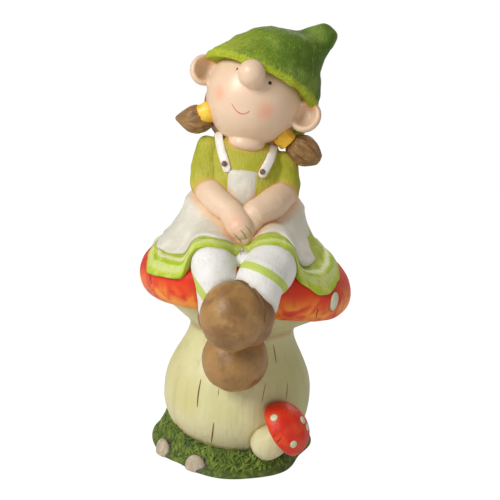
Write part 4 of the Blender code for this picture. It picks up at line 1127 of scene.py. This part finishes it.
RIM_CRACKS = (((-0.1053, -0.07, 0.2204), (-0.1030, -0.07, 0.2091)),
              ((0.0804, -0.09, 0.2025), (0.0793, -0.09, 0.1911)))
cracks = [drawn_line(places, 0.0007, "cap_skin") for places in RIM_CRACKS]
make_piece("rim_cracks", together(cracks))

# %% [markdown]
# ## Where wash has settled and shade falls
#
# A painter of such figures lets thin brown or orange paint run into the joints: round the
# arms, under the hat and along the hems. The same darker colour also stands in for the
# shade that falls where two pieces meet, so it is settled wash and painted shade at once.
# How close a point lies to the neighbouring piece tells where they lie, so the distance is
# measured once and kept on the mesh as an attribute that the finishes can read.

# %% Wash and painted shade
def keep_wash_and_shade(name, neighbours, reach):
    """1 where a neighbour touches, falling to 0 at the reach."""
    corners = []
    faces = []
    for other in neighbours:
        mesh = PIECES[other].data
        start = len(corners)
        corners += [vert.co for vert in mesh.vertices]
        faces += [[start + index for index in face.vertices] for face in mesh.polygons]
    tree = BVHTree.FromPolygons(corners, faces)
    mesh = PIECES[name].data
    layer = mesh.attributes.new("wash_and_shade", "FLOAT", "POINT")
    values = []
    for vert in mesh.vertices:
        found = tree.find_nearest(vert.co, reach)
        values.append(0.0 if found[0] is None else 1.0 - found[3] / reach)
    layer.data.foreach_set("value", values)
    print(f"{name}: {sum(value > 0 for value in values)} points of {len(values)} lie in the wash")


# piece, the pieces it meets, and how far the wash and painted shade run from them
WASHES_AND_SHADE = (
    ("apron", ["arms"], 0.015),
    ("bib", ["arms"], 0.010),
    ("arms", ["blouse", "bib", "apron"], 0.006),
    ("head", ["hair_cap", "bunches", "hair_bands", "hat", "blouse"], 0.007),
    ("blouse", ["head", "bunches", "straps", "arms"], 0.006),
    ("frill", ["apron", "stocking_left", "stocking_right"], 0.006),
    ("stocking_left", ["frill", "shoe_upper", "shoe_lower"], 0.006),
    ("stocking_right", ["frill", "shoe_upper"], 0.006),
    ("shoe_upper", ["stocking_right", "stocking_left", "shoe_lower"], 0.010),
    ("shoe_lower", ["stocking_left", "shoe_upper", "stem"], 0.010),
    ("stem", ["grass_mound", "grass_blades", "small_stem", "small_cap", "cap_underside"], 0.007),
    ("cap_skin", ["frill", "stocking_left", "stocking_right", "cap_spots"], 0.006),
    ("cap_underside", ["shoe_upper", "shoe_lower", "stem"], 0.016),
    ("grass_mound", ["stones"], 0.006),
    ("grass_blades", ["stones"], 0.006),
    ("straps", ["head", "blouse"], 0.003),
)
for name, neighbours, reach in WASHES_AND_SHADE:
    keep_wash_and_shade(name, neighbours, reach)

# %% [markdown]
# ## A painter's tools for finishes
#
# Every finish starts from one colour and gets coat upon coat: blotches of thin paint, dry
# brush strokes, settled wash with painted shade where pieces meet, pinholes from the casting.
# One small class keeps the colour so far and adds a coat each time. All patterns read the
# piece's own coordinates or its wrap map, so they stay on the surface.

# %% Finish
class Finish:
    """Paint on the casting: a colour with coats laid over it one by one."""

    def __init__(self, name, colour, roughness=0.5, gloss=0.5):
        self.material = bpy.data.materials.new(name)
        self.material.use_nodes = True
        self.tree = self.material.node_tree
        self.shader = self.tree.nodes["Principled BSDF"]
        self.shader.inputs["Roughness"].default_value = roughness
        self.shader.inputs["Specular IOR Level"].default_value = gloss
        self.shader.inputs["Base Color"].default_value = (*colour, 1.0)
        self.coordinates = self.tree.nodes.new("ShaderNodeTexCoord")
        self.colour = self.node("ShaderNodeRGB").outputs[0]
        self.colour.default_value = (*colour, 1.0)
        self.heights = None

    def node(self, kind, **settings):
        """A new shader node with its settings."""
        made = self.tree.nodes.new(kind)
        for key, value in settings.items():
            setattr(made, key, value)
        return made

    def join(self, source, target):
        """Link an output to an input, or write a plain number into it."""
        if isinstance(source, (int, float)):
            target.default_value = source
        else:
            self.tree.links.new(source, target)

    def math(self, operation, first, second=0.0):
        """A sum, product or the like of two values."""
        made = self.node("ShaderNodeMath", operation=operation)
        self.join(first, made.inputs[0])
        self.join(second, made.inputs[1])
        return made.outputs[0]

    def between(self, value, low, high):
        """0 at low, 1 at high, smooth in between."""
        made = self.node("ShaderNodeMapRange", interpolation_type="SMOOTHSTEP")
        self.join(value, made.inputs["Value"])
        made.inputs["From Min"].default_value = low
        made.inputs["From Max"].default_value = high
        return made.outputs["Result"]

    def mapped(self, stretch, turn, source):
        """The chosen coordinates, scaled and turned by angles in degrees."""
        made = self.node("ShaderNodeMapping")
        made.inputs["Scale"].default_value = stretch
        made.inputs["Rotation"].default_value = [math.radians(angle) for angle in turn]
        self.join(self.coordinates.outputs[source], made.inputs["Vector"])
        return made.outputs["Vector"]

    def noise(self, scale, detail=4.0, stretch=(1, 1, 1), turn=(0, 0, 0), source="Object", bend=0.0):
        """An uneven pattern from 0 to 1."""
        made = self.node("ShaderNodeTexNoise")
        made.inputs["Scale"].default_value = scale
        made.inputs["Detail"].default_value = detail
        made.inputs["Distortion"].default_value = bend
        self.join(self.mapped(stretch, turn, source), made.inputs["Vector"])
        return made.outputs["Fac"]

    def kept(self):
        """How much settled paint and painted shade a place holds."""
        return self.node("ShaderNodeAttribute", attribute_name="wash_and_shade").outputs["Fac"]

    def along(self, axis, source="Object"):
        """How far a place lies along one axis."""
        made = self.node("ShaderNodeSeparateXYZ")
        self.join(self.coordinates.outputs[source], made.inputs[0])
        return made.outputs[axis]

    def from_place(self, place, full, none):
        """1 within the full distance of a place, 0 beyond the other distance."""
        made = self.node("ShaderNodeVectorMath", operation="DISTANCE")
        self.join(self.coordinates.outputs["Object"], made.inputs[0])
        made.inputs[1].default_value = place
        return self.between(made.outputs["Value"], none, full)

    def coat(self, colour, where, strength=1.0):
        """Lay a colour over what is there, as strongly as where says."""
        amount = self.math("MULTIPLY", where, strength)
        made = self.node("ShaderNodeMix", data_type="RGBA")
        self.join(amount, made.inputs["Factor"])
        self.join(self.colour, made.inputs["A"])
        made.inputs["B"].default_value = (*colour, 1.0)
        self.colour = made.outputs["Result"]
        return self

    def blotches(self, colour, scale, strength, low=0.45, high=0.65, **kind):
        """Lay a colour over the stronger parts of an uneven pattern."""
        return self.coat(colour, self.between(self.noise(scale, **kind), low, high), strength)

    def pinholes(self, scale=170.0, colour=(0.12, 0.08, 0.04), share=0.80, size=0.055, strength=0.8):
        """Tiny casting holes: a few cells of a cell pattern have a dot at their middle."""
        cells = self.node("ShaderNodeTexVoronoi")
        cells.inputs["Scale"].default_value = scale
        self.join(self.coordinates.outputs["Object"], cells.inputs["Vector"])
        dot = self.between(cells.outputs["Distance"], size, size * 0.5)
        chance = self.node("ShaderNodeSeparateColor")
        self.join(cells.outputs["Color"], chance.inputs[0])
        chosen = self.math("GREATER_THAN", chance.outputs[0], share)
        hole = self.math("MULTIPLY", dot, chosen)
        self.coat(colour, hole, strength)
        return self.relief(hole, -0.0006)

    def relief(self, height, depth):
        """Add a height pattern, with its full depth in metres."""
        part = self.math("MULTIPLY", height, depth)
        self.heights = part if self.heights is None else self.math("ADD", self.heights, part)
        return self

    def done(self, *names):
        """Join the coats to the shader and put the finish on the named pieces."""
        self.join(self.colour, self.shader.inputs["Base Color"])
        if self.heights is not None:
            bumps = self.node("ShaderNodeBump")
            bumps.inputs["Distance"].default_value = 1.0
            self.join(self.heights, bumps.inputs["Height"])
            self.join(bumps.outputs["Normal"], self.shader.inputs["Normal"])
        for name in names:
            PIECES[name].data.materials.clear()
            PIECES[name].data.materials.append(self.material)
        print(f"{self.material.name}: {len(self.tree.nodes)} nodes on {', '.join(names)}")


print("finishes so far:", len(bpy.data.materials))

# %% [markdown]
# ## Toadstool finishes
#
# The cap is sprayed red. Orange and yellow are painted on the lower faces of the rim as a
# glow of light, and the red turns darker as painted shade where the dress and legs lie on it.
# The stem is a pale yellow-green cream with grey and brown streaks that run up it, with
# painted shade on its right side and settled wash and painted shade where it meets other pieces.

# %% Cap finish
cap_red = Finish("sprayed_red", (0.64, 0.028, 0.007), 0.42, 0.25)
# Painted glow: patches of orange and yellow on the lower faces of the rim stand in for light there.
lower_rim_glow = cap_red.between(cap_red.along("Z"), RIM_Z + 0.009, RIM_Z - 0.020)
patchy = cap_red.between(cap_red.noise(38.0, 3.0, bend=0.6), 0.36, 0.62)
cap_red.coat((0.80, 0.055, 0.012), cap_red.between(cap_red.noise(24.0, 2.0), 0.35, 0.65), 0.6)
cap_red.coat((0.95, 0.38, 0.035), cap_red.math("MULTIPLY", lower_rim_glow, patchy), 0.85)
# Settled wash and painted shade: the red turns darker where the frill, the legs and the spots lie on the cap.
cap_red.coat((0.45, 0.02, 0.01), cap_red.between(cap_red.kept(), 0.2, 1.0), 0.6)
cap_red.blotches((0.40, 0.015, 0.008), 160.0, 0.25, 0.5, 0.75, stretch=(1, 1, 0.3))
cap_red.relief(cap_red.noise(420.0, 5.0, stretch=(1, 1, 0.35)), 0.00035)
cap_red.pinholes(150.0, (0.3, 0.02, 0.01))
cap_red.done("cap_skin")

small_red = Finish("small_cap_red", (0.62, 0.022, 0.008), 0.40, 0.3)
small_red.blotches((0.80, 0.10, 0.02), 60.0, 0.6, 0.40, 0.65)
small_red.blotches((0.42, 0.018, 0.008), 120.0, 0.4, 0.52, 0.72)
small_red.relief(small_red.noise(420.0, 5.0), 0.0004)
small_red.pinholes(170.0, (0.3, 0.02, 0.01))
small_red.done("small_cap")

# %% Cream finish
cream = Finish("washed_cream_with_painted_shade", (0.601, 0.570, 0.272), 0.46)
cream.blotches((0.679, 0.655, 0.376), 16.0, 0.7, 0.4, 0.65)
cream.blotches((0.582, 0.522, 0.192), 22.0, 0.45, 0.5, 0.7, stretch=(1, 1, 0.5))
cream.coat((0.660, 0.589, 0.400), cream.between(cream.along("Z"), 0.075, 0.030), 0.6)
# Painted shade: the right side of the stem and the cap's underside turns a darker grey-green.
cream.coat((0.388, 0.399, 0.192), cream.between(cream.along("X"), 0.015, 0.080), 0.55)
cream.blotches((0.485, 0.418, 0.200), 120.0, 0.35, 0.52, 0.70, stretch=(1, 1, 0.06))
cream.blotches((0.601, 0.494, 0.288), 300.0, 0.25, 0.55, 0.75, stretch=(1, 1, 0.04))
# Settled wash and painted shade: brown where the stem meets the grass, the small toadstool and the cap, and
# where the cap's underside meets the shoes and the stem.
cream.coat((0.446, 0.314, 0.112), cream.between(cream.kept(), 0.25, 1.0), 0.7)
cream.relief(cream.noise(260.0, 4.0, stretch=(1, 1, 0.08)), 0.0006)
cream.pinholes(140.0)
cream.done("stem", "cap_underside", "small_stem")

# %% Spot finish
spot = Finish("pale_spots", (0.55, 0.60, 0.38), 0.5)
spot.blotches((0.74, 0.74, 0.60), 90.0, 0.5)
spot.relief(spot.noise(500.0, 3.0), 0.0003)
spot.done("cap_spots", "small_spots")

# %% [markdown]
# ## Ground finishes
#
# Grass is painted dark first and dry-brushed with lighter greens, which catch only the
# carved blades. Round the stones the grass turns darker as painted shade. The stones are
# warm grey with pale grain.

# %% Grass and stone finishes
# Painted shade: the dark ring that the grass shows round the stones.
SHADE_ROUND_THE_STONES = (0.085, 0.095, 0.065)
grass = Finish("painted_grass", (0.060, 0.095, 0.018), 0.6, 0.25)
grass.blotches((0.15, 0.21, 0.03), 90.0, 0.8, 0.42, 0.62)
grass.blotches((0.28, 0.34, 0.07), 230.0, 0.5, 0.52, 0.70)
# Painted shade round the stones.
grass.coat(SHADE_ROUND_THE_STONES, grass.between(grass.kept(), 0.1, 0.8), 0.85)
grass.relief(grass.noise(600.0, 4.0), 0.0005)
grass.done("grass_mound")

blade = Finish("dry_brushed_blades", (0.10, 0.155, 0.022), 0.6, 0.25)
blade.blotches((0.20, 0.28, 0.04), 120.0, 0.85, 0.42, 0.6)
blade.blotches((0.34, 0.40, 0.10), 300.0, 0.4, 0.55, 0.72)
blade.blotches((0.05, 0.085, 0.02), 50.0, 0.7, 0.48, 0.64)
# Painted shade round the stones.
blade.coat(SHADE_ROUND_THE_STONES, blade.between(blade.kept(), 0.1, 0.8), 0.85)
blade.relief(blade.noise(700.0, 3.0), 0.0004)
blade.done("grass_blades")

stone = Finish("beach_stone", (0.44, 0.36, 0.25), 0.65)
stone.blotches((0.60, 0.52, 0.40), 180.0, 0.7)
stone.blotches((0.30, 0.27, 0.22), 260.0, 0.5, 0.55, 0.7)
stone.relief(stone.noise(500.0, 5.0), 0.0005)
stone.done("stones")

# %% [markdown]
# ## Cloth finishes
#
# The blouse and hat are brushed over a combed surface, so the strokes show as fine
# grooves with dark paint in them. The hat is lighter on its left side and darker on its
# right as painted light and shade, and a painted highlight runs along its brim. The apron
# is white under a thin grey-brown wash. The frill is striped along its hem in light and
# dark green.

# %% Hat finish
hat_paint = Finish("brushed_felt", (0.18, 0.27, 0.018), 0.62, 0.25)
strokes = hat_paint.noise(1.0, 5.0, stretch=(150.0, 9.0, 1.0), source="UV", bend=0.4)
fuzz = hat_paint.noise(420.0, 5.0, stretch=(1.0, 1.0, 0.25), turn=(0, 50, 0))
# Painted light on the hat's left side, then painted shade on its right side.
hat_paint.coat((0.44, 0.50, 0.045), hat_paint.between(hat_paint.along("X"), 0.01, -0.05), 0.7)
hat_paint.coat((0.060, 0.125, 0.010), hat_paint.between(hat_paint.along("X"), -0.005, 0.045), 0.80)
hat_paint.blotches((0.08, 0.16, 0.015), 30.0, 0.55, 0.46, 0.66)
hat_paint.blotches((0.40, 0.52, 0.10), 26.0, 0.35, 0.52, 0.70)
hat_paint.coat((0.05, 0.14, 0.015), hat_paint.between(strokes, 0.52, 0.70), 0.55)
hat_paint.coat((0.40, 0.52, 0.07), hat_paint.between(fuzz, 0.55, 0.72), 0.45)
# Painted highlight: a yellow-green band along the lip of the brim.
brim_noise = hat_paint.math("MULTIPLY", hat_paint.noise(120.0, 4.0), 0.10)
brim = hat_paint.between(hat_paint.math("ADD", hat_paint.along("Y", "UV"), brim_noise), 0.375, 0.30)
hat_paint.coat((0.42, 0.48, 0.02), brim, 0.75)
pits = hat_paint.between(hat_paint.noise(900.0, 2.0), 0.56, 0.68)
hat_paint.coat((0.025, 0.07, 0.006), pits, 0.6)
hat_paint.relief(strokes, 0.0010).relief(fuzz, 0.0008).relief(pits, -0.0003)
hat_paint.pinholes(170.0, (0.03, 0.06, 0.01))
hat_paint.done("hat")

# %% Blouse finish
blouse_paint = Finish("combed_blouse", (0.380, 0.376, 0.027), 0.6, 0.25)
combed = blouse_paint.noise(520.0, 4.0, stretch=(1.0, 1.0, 0.12), turn=(8, 12, 0))
blouse_paint.blotches((0.500, 0.464, 0.072), 40.0, 0.6, 0.42, 0.62)
blouse_paint.blotches((0.240, 0.272, 0.013), 48.0, 0.5, 0.52, 0.70)
blouse_paint.coat((0.260, 0.288, 0.018), blouse_paint.between(combed, 0.52, 0.68), 0.5)
# Settled wash and painted shade: orange where the blouse meets the head, the hair, the straps and the arms.
blouse_paint.coat((0.620, 0.400, 0.090), blouse_paint.between(blouse_paint.kept(), 0.2, 1.0), 0.55)
blouse_paint.relief(combed, 0.0009)
blouse_paint.pinholes(160.0, (0.10, 0.10, 0.02))
blouse_paint.done("blouse")

# %% Apron, bib and strap finishes
apron_paint = Finish("washed_white_with_painted_shade", (0.680, 0.643, 0.546), 0.5)
apron_paint.blotches((0.600, 0.576, 0.484), 30.0, 0.6, 0.40, 0.68)
apron_paint.blotches((0.840, 0.797, 0.704), 55.0, 0.5, 0.50, 0.70)
apron_paint.blotches((0.520, 0.480, 0.370), 180.0, 0.25, 0.52, 0.72, stretch=(1, 1, 0.2))
# Settled wash and painted shade: orange round the arms on the apron and the bib.
apron_paint.coat((0.720, 0.403, 0.176), apron_paint.between(apron_paint.kept(), 0.15, 1.0), 0.75)
apron_paint.relief(apron_paint.noise(260.0, 4.0, stretch=(1, 1, 0.3)), 0.0006)
apron_paint.pinholes(150.0)
apron_paint.done("apron", "bib")

strap_paint = Finish("strap_white", (0.78, 0.76, 0.70), 0.45)
strap_paint.blotches((0.64, 0.58, 0.48), 120.0, 0.5)
# Settled wash and painted shade where the straps meet the head and the blouse.
strap_paint.coat((0.62, 0.42, 0.22), strap_paint.between(strap_paint.kept(), 0.5, 1.0), 0.35)
strap_paint.done("straps")

# %% Frill finish
frill_paint = Finish("striped_frill", (0.512, 0.588, 0.057), 0.55, 0.25)
down = frill_paint.along("Y", "UV")
wobble = frill_paint.math("MULTIPLY", frill_paint.noise(60.0, 3.0), 0.02)
down = frill_paint.math("ADD", down, wobble)
# middle and half width as shares of the way to the hem, colour, strength
FRILL_STRIPES = (
    (0.73, 0.030, (0.36, 0.50, 0.02), 0.9), (0.80, 0.035, (0.74, 0.76, 0.50), 0.85),
    (0.865, 0.025, (0.34, 0.50, 0.02), 0.9), (0.925, 0.045, (0.60, 0.66, 0.28), 0.7),
    (1.04, 0.060, (0.38, 0.55, 0.03), 0.9),
)
for middle, half_width, colour, strength in FRILL_STRIPES:
    off_middle = frill_paint.math("ABSOLUTE", frill_paint.math("SUBTRACT", down, hem_row(middle) + 0.010))
    half_width *= LEVELS / DRESS_ROWS
    frill_paint.coat(colour, frill_paint.between(off_middle, half_width, half_width * 0.5), strength)
frill_paint.blotches((0.732, 0.706, 0.228), 70.0, 0.5, 0.48, 0.66)
frill_paint.blotches((0.268, 0.372, 0.019), 260.0, 0.45, 0.54, 0.72, stretch=(1, 1, 0.3))
# Settled wash and painted shade: darker green where the frill meets the apron and the stockings.
frill_paint.coat((0.293, 0.353, 0.028), frill_paint.between(frill_paint.kept(), 0.3, 1.0), 0.6)
frill_paint.relief(frill_paint.noise(380.0, 4.0, stretch=(1, 1, 0.3)), 0.0008)
frill_paint.pinholes(160.0, (0.08, 0.12, 0.02))
frill_paint.done("frill")

# %% [markdown]
# ## Leg finishes
#
# White stockings with a green stripe each, and shoes in ochre under a brown wash. A stripe
# is a slab of space: all points that lie closer to a plane than half the stripe's width.
# That is simpler than cutting the mesh, and the line stays sharp.

# %% Stocking finishes
STRIPE_GREEN = (0.46, 0.58, 0.07)
STRIPE_EDGE = 0.0006


def stocking_finish(name, piece, stripes):
    """White with green stripes; a stripe's slab holds two seen places and a direction into the leg."""
    paint = Finish(name, (0.78, 0.77, 0.74), 0.55)
    paint.blotches((0.62, 0.61, 0.55), 50.0, 0.45, 0.45, 0.68)
    for first, second, inward, half_width in stripes:
        place, other = (seen_from_camera(spot, piece)[0] for spot in (first, second))
        direction = (other - place).cross(Vector(inward))
        offset = paint.node("ShaderNodeVectorMath", operation="SUBTRACT")
        paint.join(paint.coordinates.outputs["Object"], offset.inputs[0])
        offset.inputs[1].default_value = place
        distance = paint.node("ShaderNodeVectorMath", operation="DOT_PRODUCT")
        paint.join(offset.outputs[0], distance.inputs[0])
        distance.inputs[1].default_value = direction.normalized()
        off_middle = paint.math("ABSOLUTE", distance.outputs["Value"])
        stripe = paint.between(off_middle, half_width + STRIPE_EDGE, half_width - STRIPE_EDGE)
        paint.coat(STRIPE_GREEN, stripe, 0.95)
    paint.blotches((0.45, 0.42, 0.32), 330.0, 0.3, 0.56, 0.74, stretch=(1, 1, 0.35))
    # Settled wash and painted shade where the stockings meet the frill and the shoes.
    paint.coat((0.50, 0.42, 0.28), paint.between(paint.kept(), 0.4, 1.0), 0.5)
    paint.relief(paint.noise(420.0, 4.0, stretch=(1, 1, 0.3)), 0.0005)
    paint.pinholes(170.0)
    paint.done(piece)


stocking_finish("stocking_left_paint", "stocking_left",
                [((-0.0448, -0.110, 0.2140), (-0.0372, -0.115, 0.2060), (-0.04, 1.0, -0.27), 0.0036)])
stocking_finish("stocking_right_paint", "stocking_right",
                [((0.0010, -0.115, 0.2505), (0.0412, -0.115, 0.2297), (-0.35, 1.0, -0.42), 0.0045)])

# %% Shoe finish
shoe_paint = Finish("ochre_leather", (0.350, 0.186, 0.056), 0.45)
shoe_paint.blotches((0.170, 0.079, 0.021), 36.0, 0.75, 0.44, 0.68)
shoe_paint.blotches((0.480, 0.288, 0.104), 55.0, 0.55, 0.50, 0.68)
shoe_paint.blotches((0.160, 0.079, 0.024), 150.0, 0.4, 0.54, 0.74, stretch=(1, 1, 0.4))
# Settled wash and painted shade: darker brown where the shoes meet the stockings, each other and the stem.
shoe_paint.coat((0.130, 0.060, 0.016), shoe_paint.between(shoe_paint.kept(), 0.15, 1.0), 0.7)
shoe_paint.relief(shoe_paint.noise(300.0, 5.0), 0.0006)
shoe_paint.pinholes(160.0, (0.08, 0.04, 0.02))
shoe_paint.done("shoe_upper", "shoe_lower")

# %% [markdown]
# ## Skin, hair and small parts
#
# The skin is a warm peach with a satin sheen, rosy on the cheeks and knuckles, and orange
# where it meets hair and clothes, as settled wash and painted shade. Hair and bands have
# the same satin sheen.

# %% Skin finishes
SKIN = (0.74, 0.535, 0.375)
face_paint = Finish("painted_face", SKIN, 0.35)
face_paint.blotches((0.80, 0.58, 0.41), 22.0, 0.5, 0.4, 0.65)
for place, reach, rose in (((-0.0446, -0.040, 0.4204), 0.013, (0.84, 0.36, 0.22)),
                           ((0.0073, -0.045, 0.4050), 0.016, (0.82, 0.33, 0.20))):
    cheek = seen_from_camera(place, "head")[0]
    face_paint.coat(rose, face_paint.from_place(cheek, 0.001, reach), 0.60)
# Settled wash and painted shade: orange where the face meets the hair, the hat and the blouse.
face_paint.coat((0.70, 0.34, 0.12), face_paint.between(face_paint.kept(), 0.25, 1.0), 0.65)
face_paint.relief(face_paint.noise(260.0, 3.0), 0.0002)
face_paint.done("head")

arm_paint = Finish("painted_arms", SKIN, 0.46)
arm_paint.blotches((0.80, 0.60, 0.42), 30.0, 0.5, 0.4, 0.65)
arm_paint.coat((0.84, 0.38, 0.24), arm_paint.from_place((-0.014, -0.083, 0.286), 0.002, 0.014), 0.6)
# Settled wash and painted shade: orange where the arms meet the blouse, the bib and the apron.
arm_paint.coat((0.62, 0.28, 0.09), arm_paint.between(arm_paint.kept(), 0.30, 1.0), 0.7)
arm_paint.relief(arm_paint.noise(300.0, 3.0), 0.0003)
arm_paint.pinholes(130.0)
arm_paint.done("arms")

# %% Hair, band and detail finishes
hair_paint = Finish("combed_hair", (0.25, 0.125, 0.036), 0.40)
hair_paint.blotches((0.38, 0.21, 0.07), 120.0, 0.7, 0.45, 0.62)
hair_paint.blotches((0.10, 0.05, 0.018), 70.0, 0.6, 0.5, 0.7)
strand = hair_paint.noise(1.0, 4.0, stretch=(90.0, 6.0, 1.0), source="UV", bend=0.5)
hair_paint.coat((0.52, 0.33, 0.13), hair_paint.between(strand, 0.58, 0.70), 0.5)
hair_paint.relief(strand, 0.0010)
hair_paint.done("bunches")

nape_paint = Finish("nape_hair", (0.36, 0.19, 0.065), 0.5)
nape_paint.blotches((0.20, 0.10, 0.03), 90.0, 0.7)
nape_paint.relief(nape_paint.noise(240.0, 4.0, stretch=(1, 1, 0.2)), 0.001)
nape_paint.done("hair_cap")

band_paint = Finish("yellow_band", (0.88, 0.50, 0.02), 0.40)
band_paint.blotches((0.90, 0.66, 0.10), 110.0, 0.6)
band_paint.blotches((0.70, 0.28, 0.01), 80.0, 0.5, 0.55, 0.7)
band_paint.done("hair_bands")

button_paint = Finish("brown_button", (0.16, 0.09, 0.05), 0.4)
button_paint.blotches((0.28, 0.18, 0.11), 300.0, 0.6)
button_paint.done("buttons")

eye_paint = Finish("black_eye", (0.012, 0.012, 0.012), 0.25)
eye_paint.done("eyes")

smile_paint = Finish("rose_smile", (0.72, 0.10, 0.10), 0.4)
smile_paint.done("smile")

# Dark brown for the real cracks in the stem, and as painted shade in the grooves between the fingers and in
# the crease of the upper shoe.
cracks_and_crease_shade_paint = Finish("dark_cracks_and_crease_shade", (0.20, 0.10, 0.04), 0.7)
cracks_and_crease_shade_paint.done("stem_cracks", "finger_crease_shade", "shoe_crease_shade")

red_crack_paint = Finish("dark_red_slits", (0.22, 0.012, 0.006), 0.6)
red_crack_paint.done("rim_cracks", "small_slits")

# %% [markdown]
# ## Floor, backdrop and light
#
# A pale floor and plain soft light show the paint as it is. The main light stands to the
# left in front, so the right side of the figure turns darker. The world looks pure white
# to the camera, and the floor nearly white, while it still takes the figure's shadow.

# %% Stage
def stage_paint(name, share_of_white):
    """Pale paint that the camera sees nearly white, with part of the shadow kept."""
    material = bpy.data.materials.new(name)
    material.use_nodes = True
    tree = material.node_tree
    shader = tree.nodes["Principled BSDF"]
    shader.inputs["Base Color"].default_value = (0.86, 0.86, 0.86, 1.0)
    shader.inputs["Roughness"].default_value = 0.9
    glow = tree.nodes.new("ShaderNodeEmission")
    glow.inputs["Strength"].default_value = 1.06
    mix = tree.nodes.new("ShaderNodeMixShader")
    rays = tree.nodes.new("ShaderNodeLightPath")
    scaled = tree.nodes.new("ShaderNodeMath")
    scaled.operation = "MULTIPLY"
    scaled.inputs[1].default_value = share_of_white
    tree.links.new(rays.outputs["Is Camera Ray"], scaled.inputs[0])
    tree.links.new(scaled.outputs[0], mix.inputs[0])
    tree.links.new(shader.outputs[0], mix.inputs[1])
    tree.links.new(glow.outputs[0], mix.inputs[2])
    tree.links.new(mix.outputs[0], tree.nodes["Material Output"].inputs["Surface"])
    return material


bm = bmesh.new()
bmesh.ops.create_grid(bm, x_segments=4, y_segments=4, size=6.0)
mesh = bpy.data.meshes.new("floor")
bm.to_mesh(mesh)
bm.free()
mesh.materials.append(stage_paint("floor_paint", 0.955))
sheet = bpy.data.objects.new("floor", mesh)
bpy.context.scene.collection.objects.link(sheet)
sheet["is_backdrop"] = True

SOFT_LIGHT_STRENGTH = 0.33
world = bpy.data.worlds.new("studio")
world.use_nodes = True
bpy.context.scene.world = world
nodes = world.node_tree.nodes
links = world.node_tree.links
soft_light = nodes["Background"]
soft_light.inputs["Color"].default_value = (1.0, 0.96, 0.90, 1.0)
soft_light.inputs["Strength"].default_value = SOFT_LIGHT_STRENGTH
white = nodes.new("ShaderNodeBackground")
white.inputs["Color"].default_value = (1.0, 1.0, 1.0, 1.0)
white.inputs["Strength"].default_value = 1.0
rays = nodes.new("ShaderNodeLightPath")
seen = nodes.new("ShaderNodeMixShader")
links.new(rays.outputs["Is Camera Ray"], seen.inputs[0])
links.new(soft_light.outputs[0], seen.inputs[1])
links.new(white.outputs[0], seen.inputs[2])
links.new(seen.outputs[0], nodes["World Output"].inputs["Surface"])

# name, place, size in metres and power in watts
LAMPS = (("main_light", (-1.5, -1.4, 1.5), 0.9, 45.0), ("fill_light", (1.6, -1.5, 0.7), 1.2, 4.0),
         ("back_light", (0.6, 1.6, 1.4), 1.2, 13.0))
LIT_PLACE = Vector((0.0, 0.0, 0.27))
for name, place, size, power in LAMPS:
    lamp = bpy.data.lights.new(name, "AREA")
    lamp.size = size
    lamp.energy = power
    stand = bpy.data.objects.new(name, lamp)
    turned = (LIT_PLACE - Vector(place)).to_track_quat("-Z", "Y").to_matrix().to_4x4()
    stand.matrix_world = Matrix.Translation(place) @ turned
    bpy.context.scene.collection.objects.link(stand)
bpy.context.scene.view_settings.view_transform = "Standard"

# %% [markdown]
# ## Check the size and finish
#
# The dressed figure has to stay inside the box of the plain solid, so its own box is
# measured and the largest overshoot past the plain solid's box is printed.

# %% Sizes and end
seen_box = [list(corner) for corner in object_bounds()]
below = max(cad - seen for cad, seen in zip(cad_box[0], seen_box[0]))
above = max(seen - cad for cad, seen in zip(cad_box[1], seen_box[1]))
print("largest overshoot in mm:", round(1000 * max(below, above), 2))
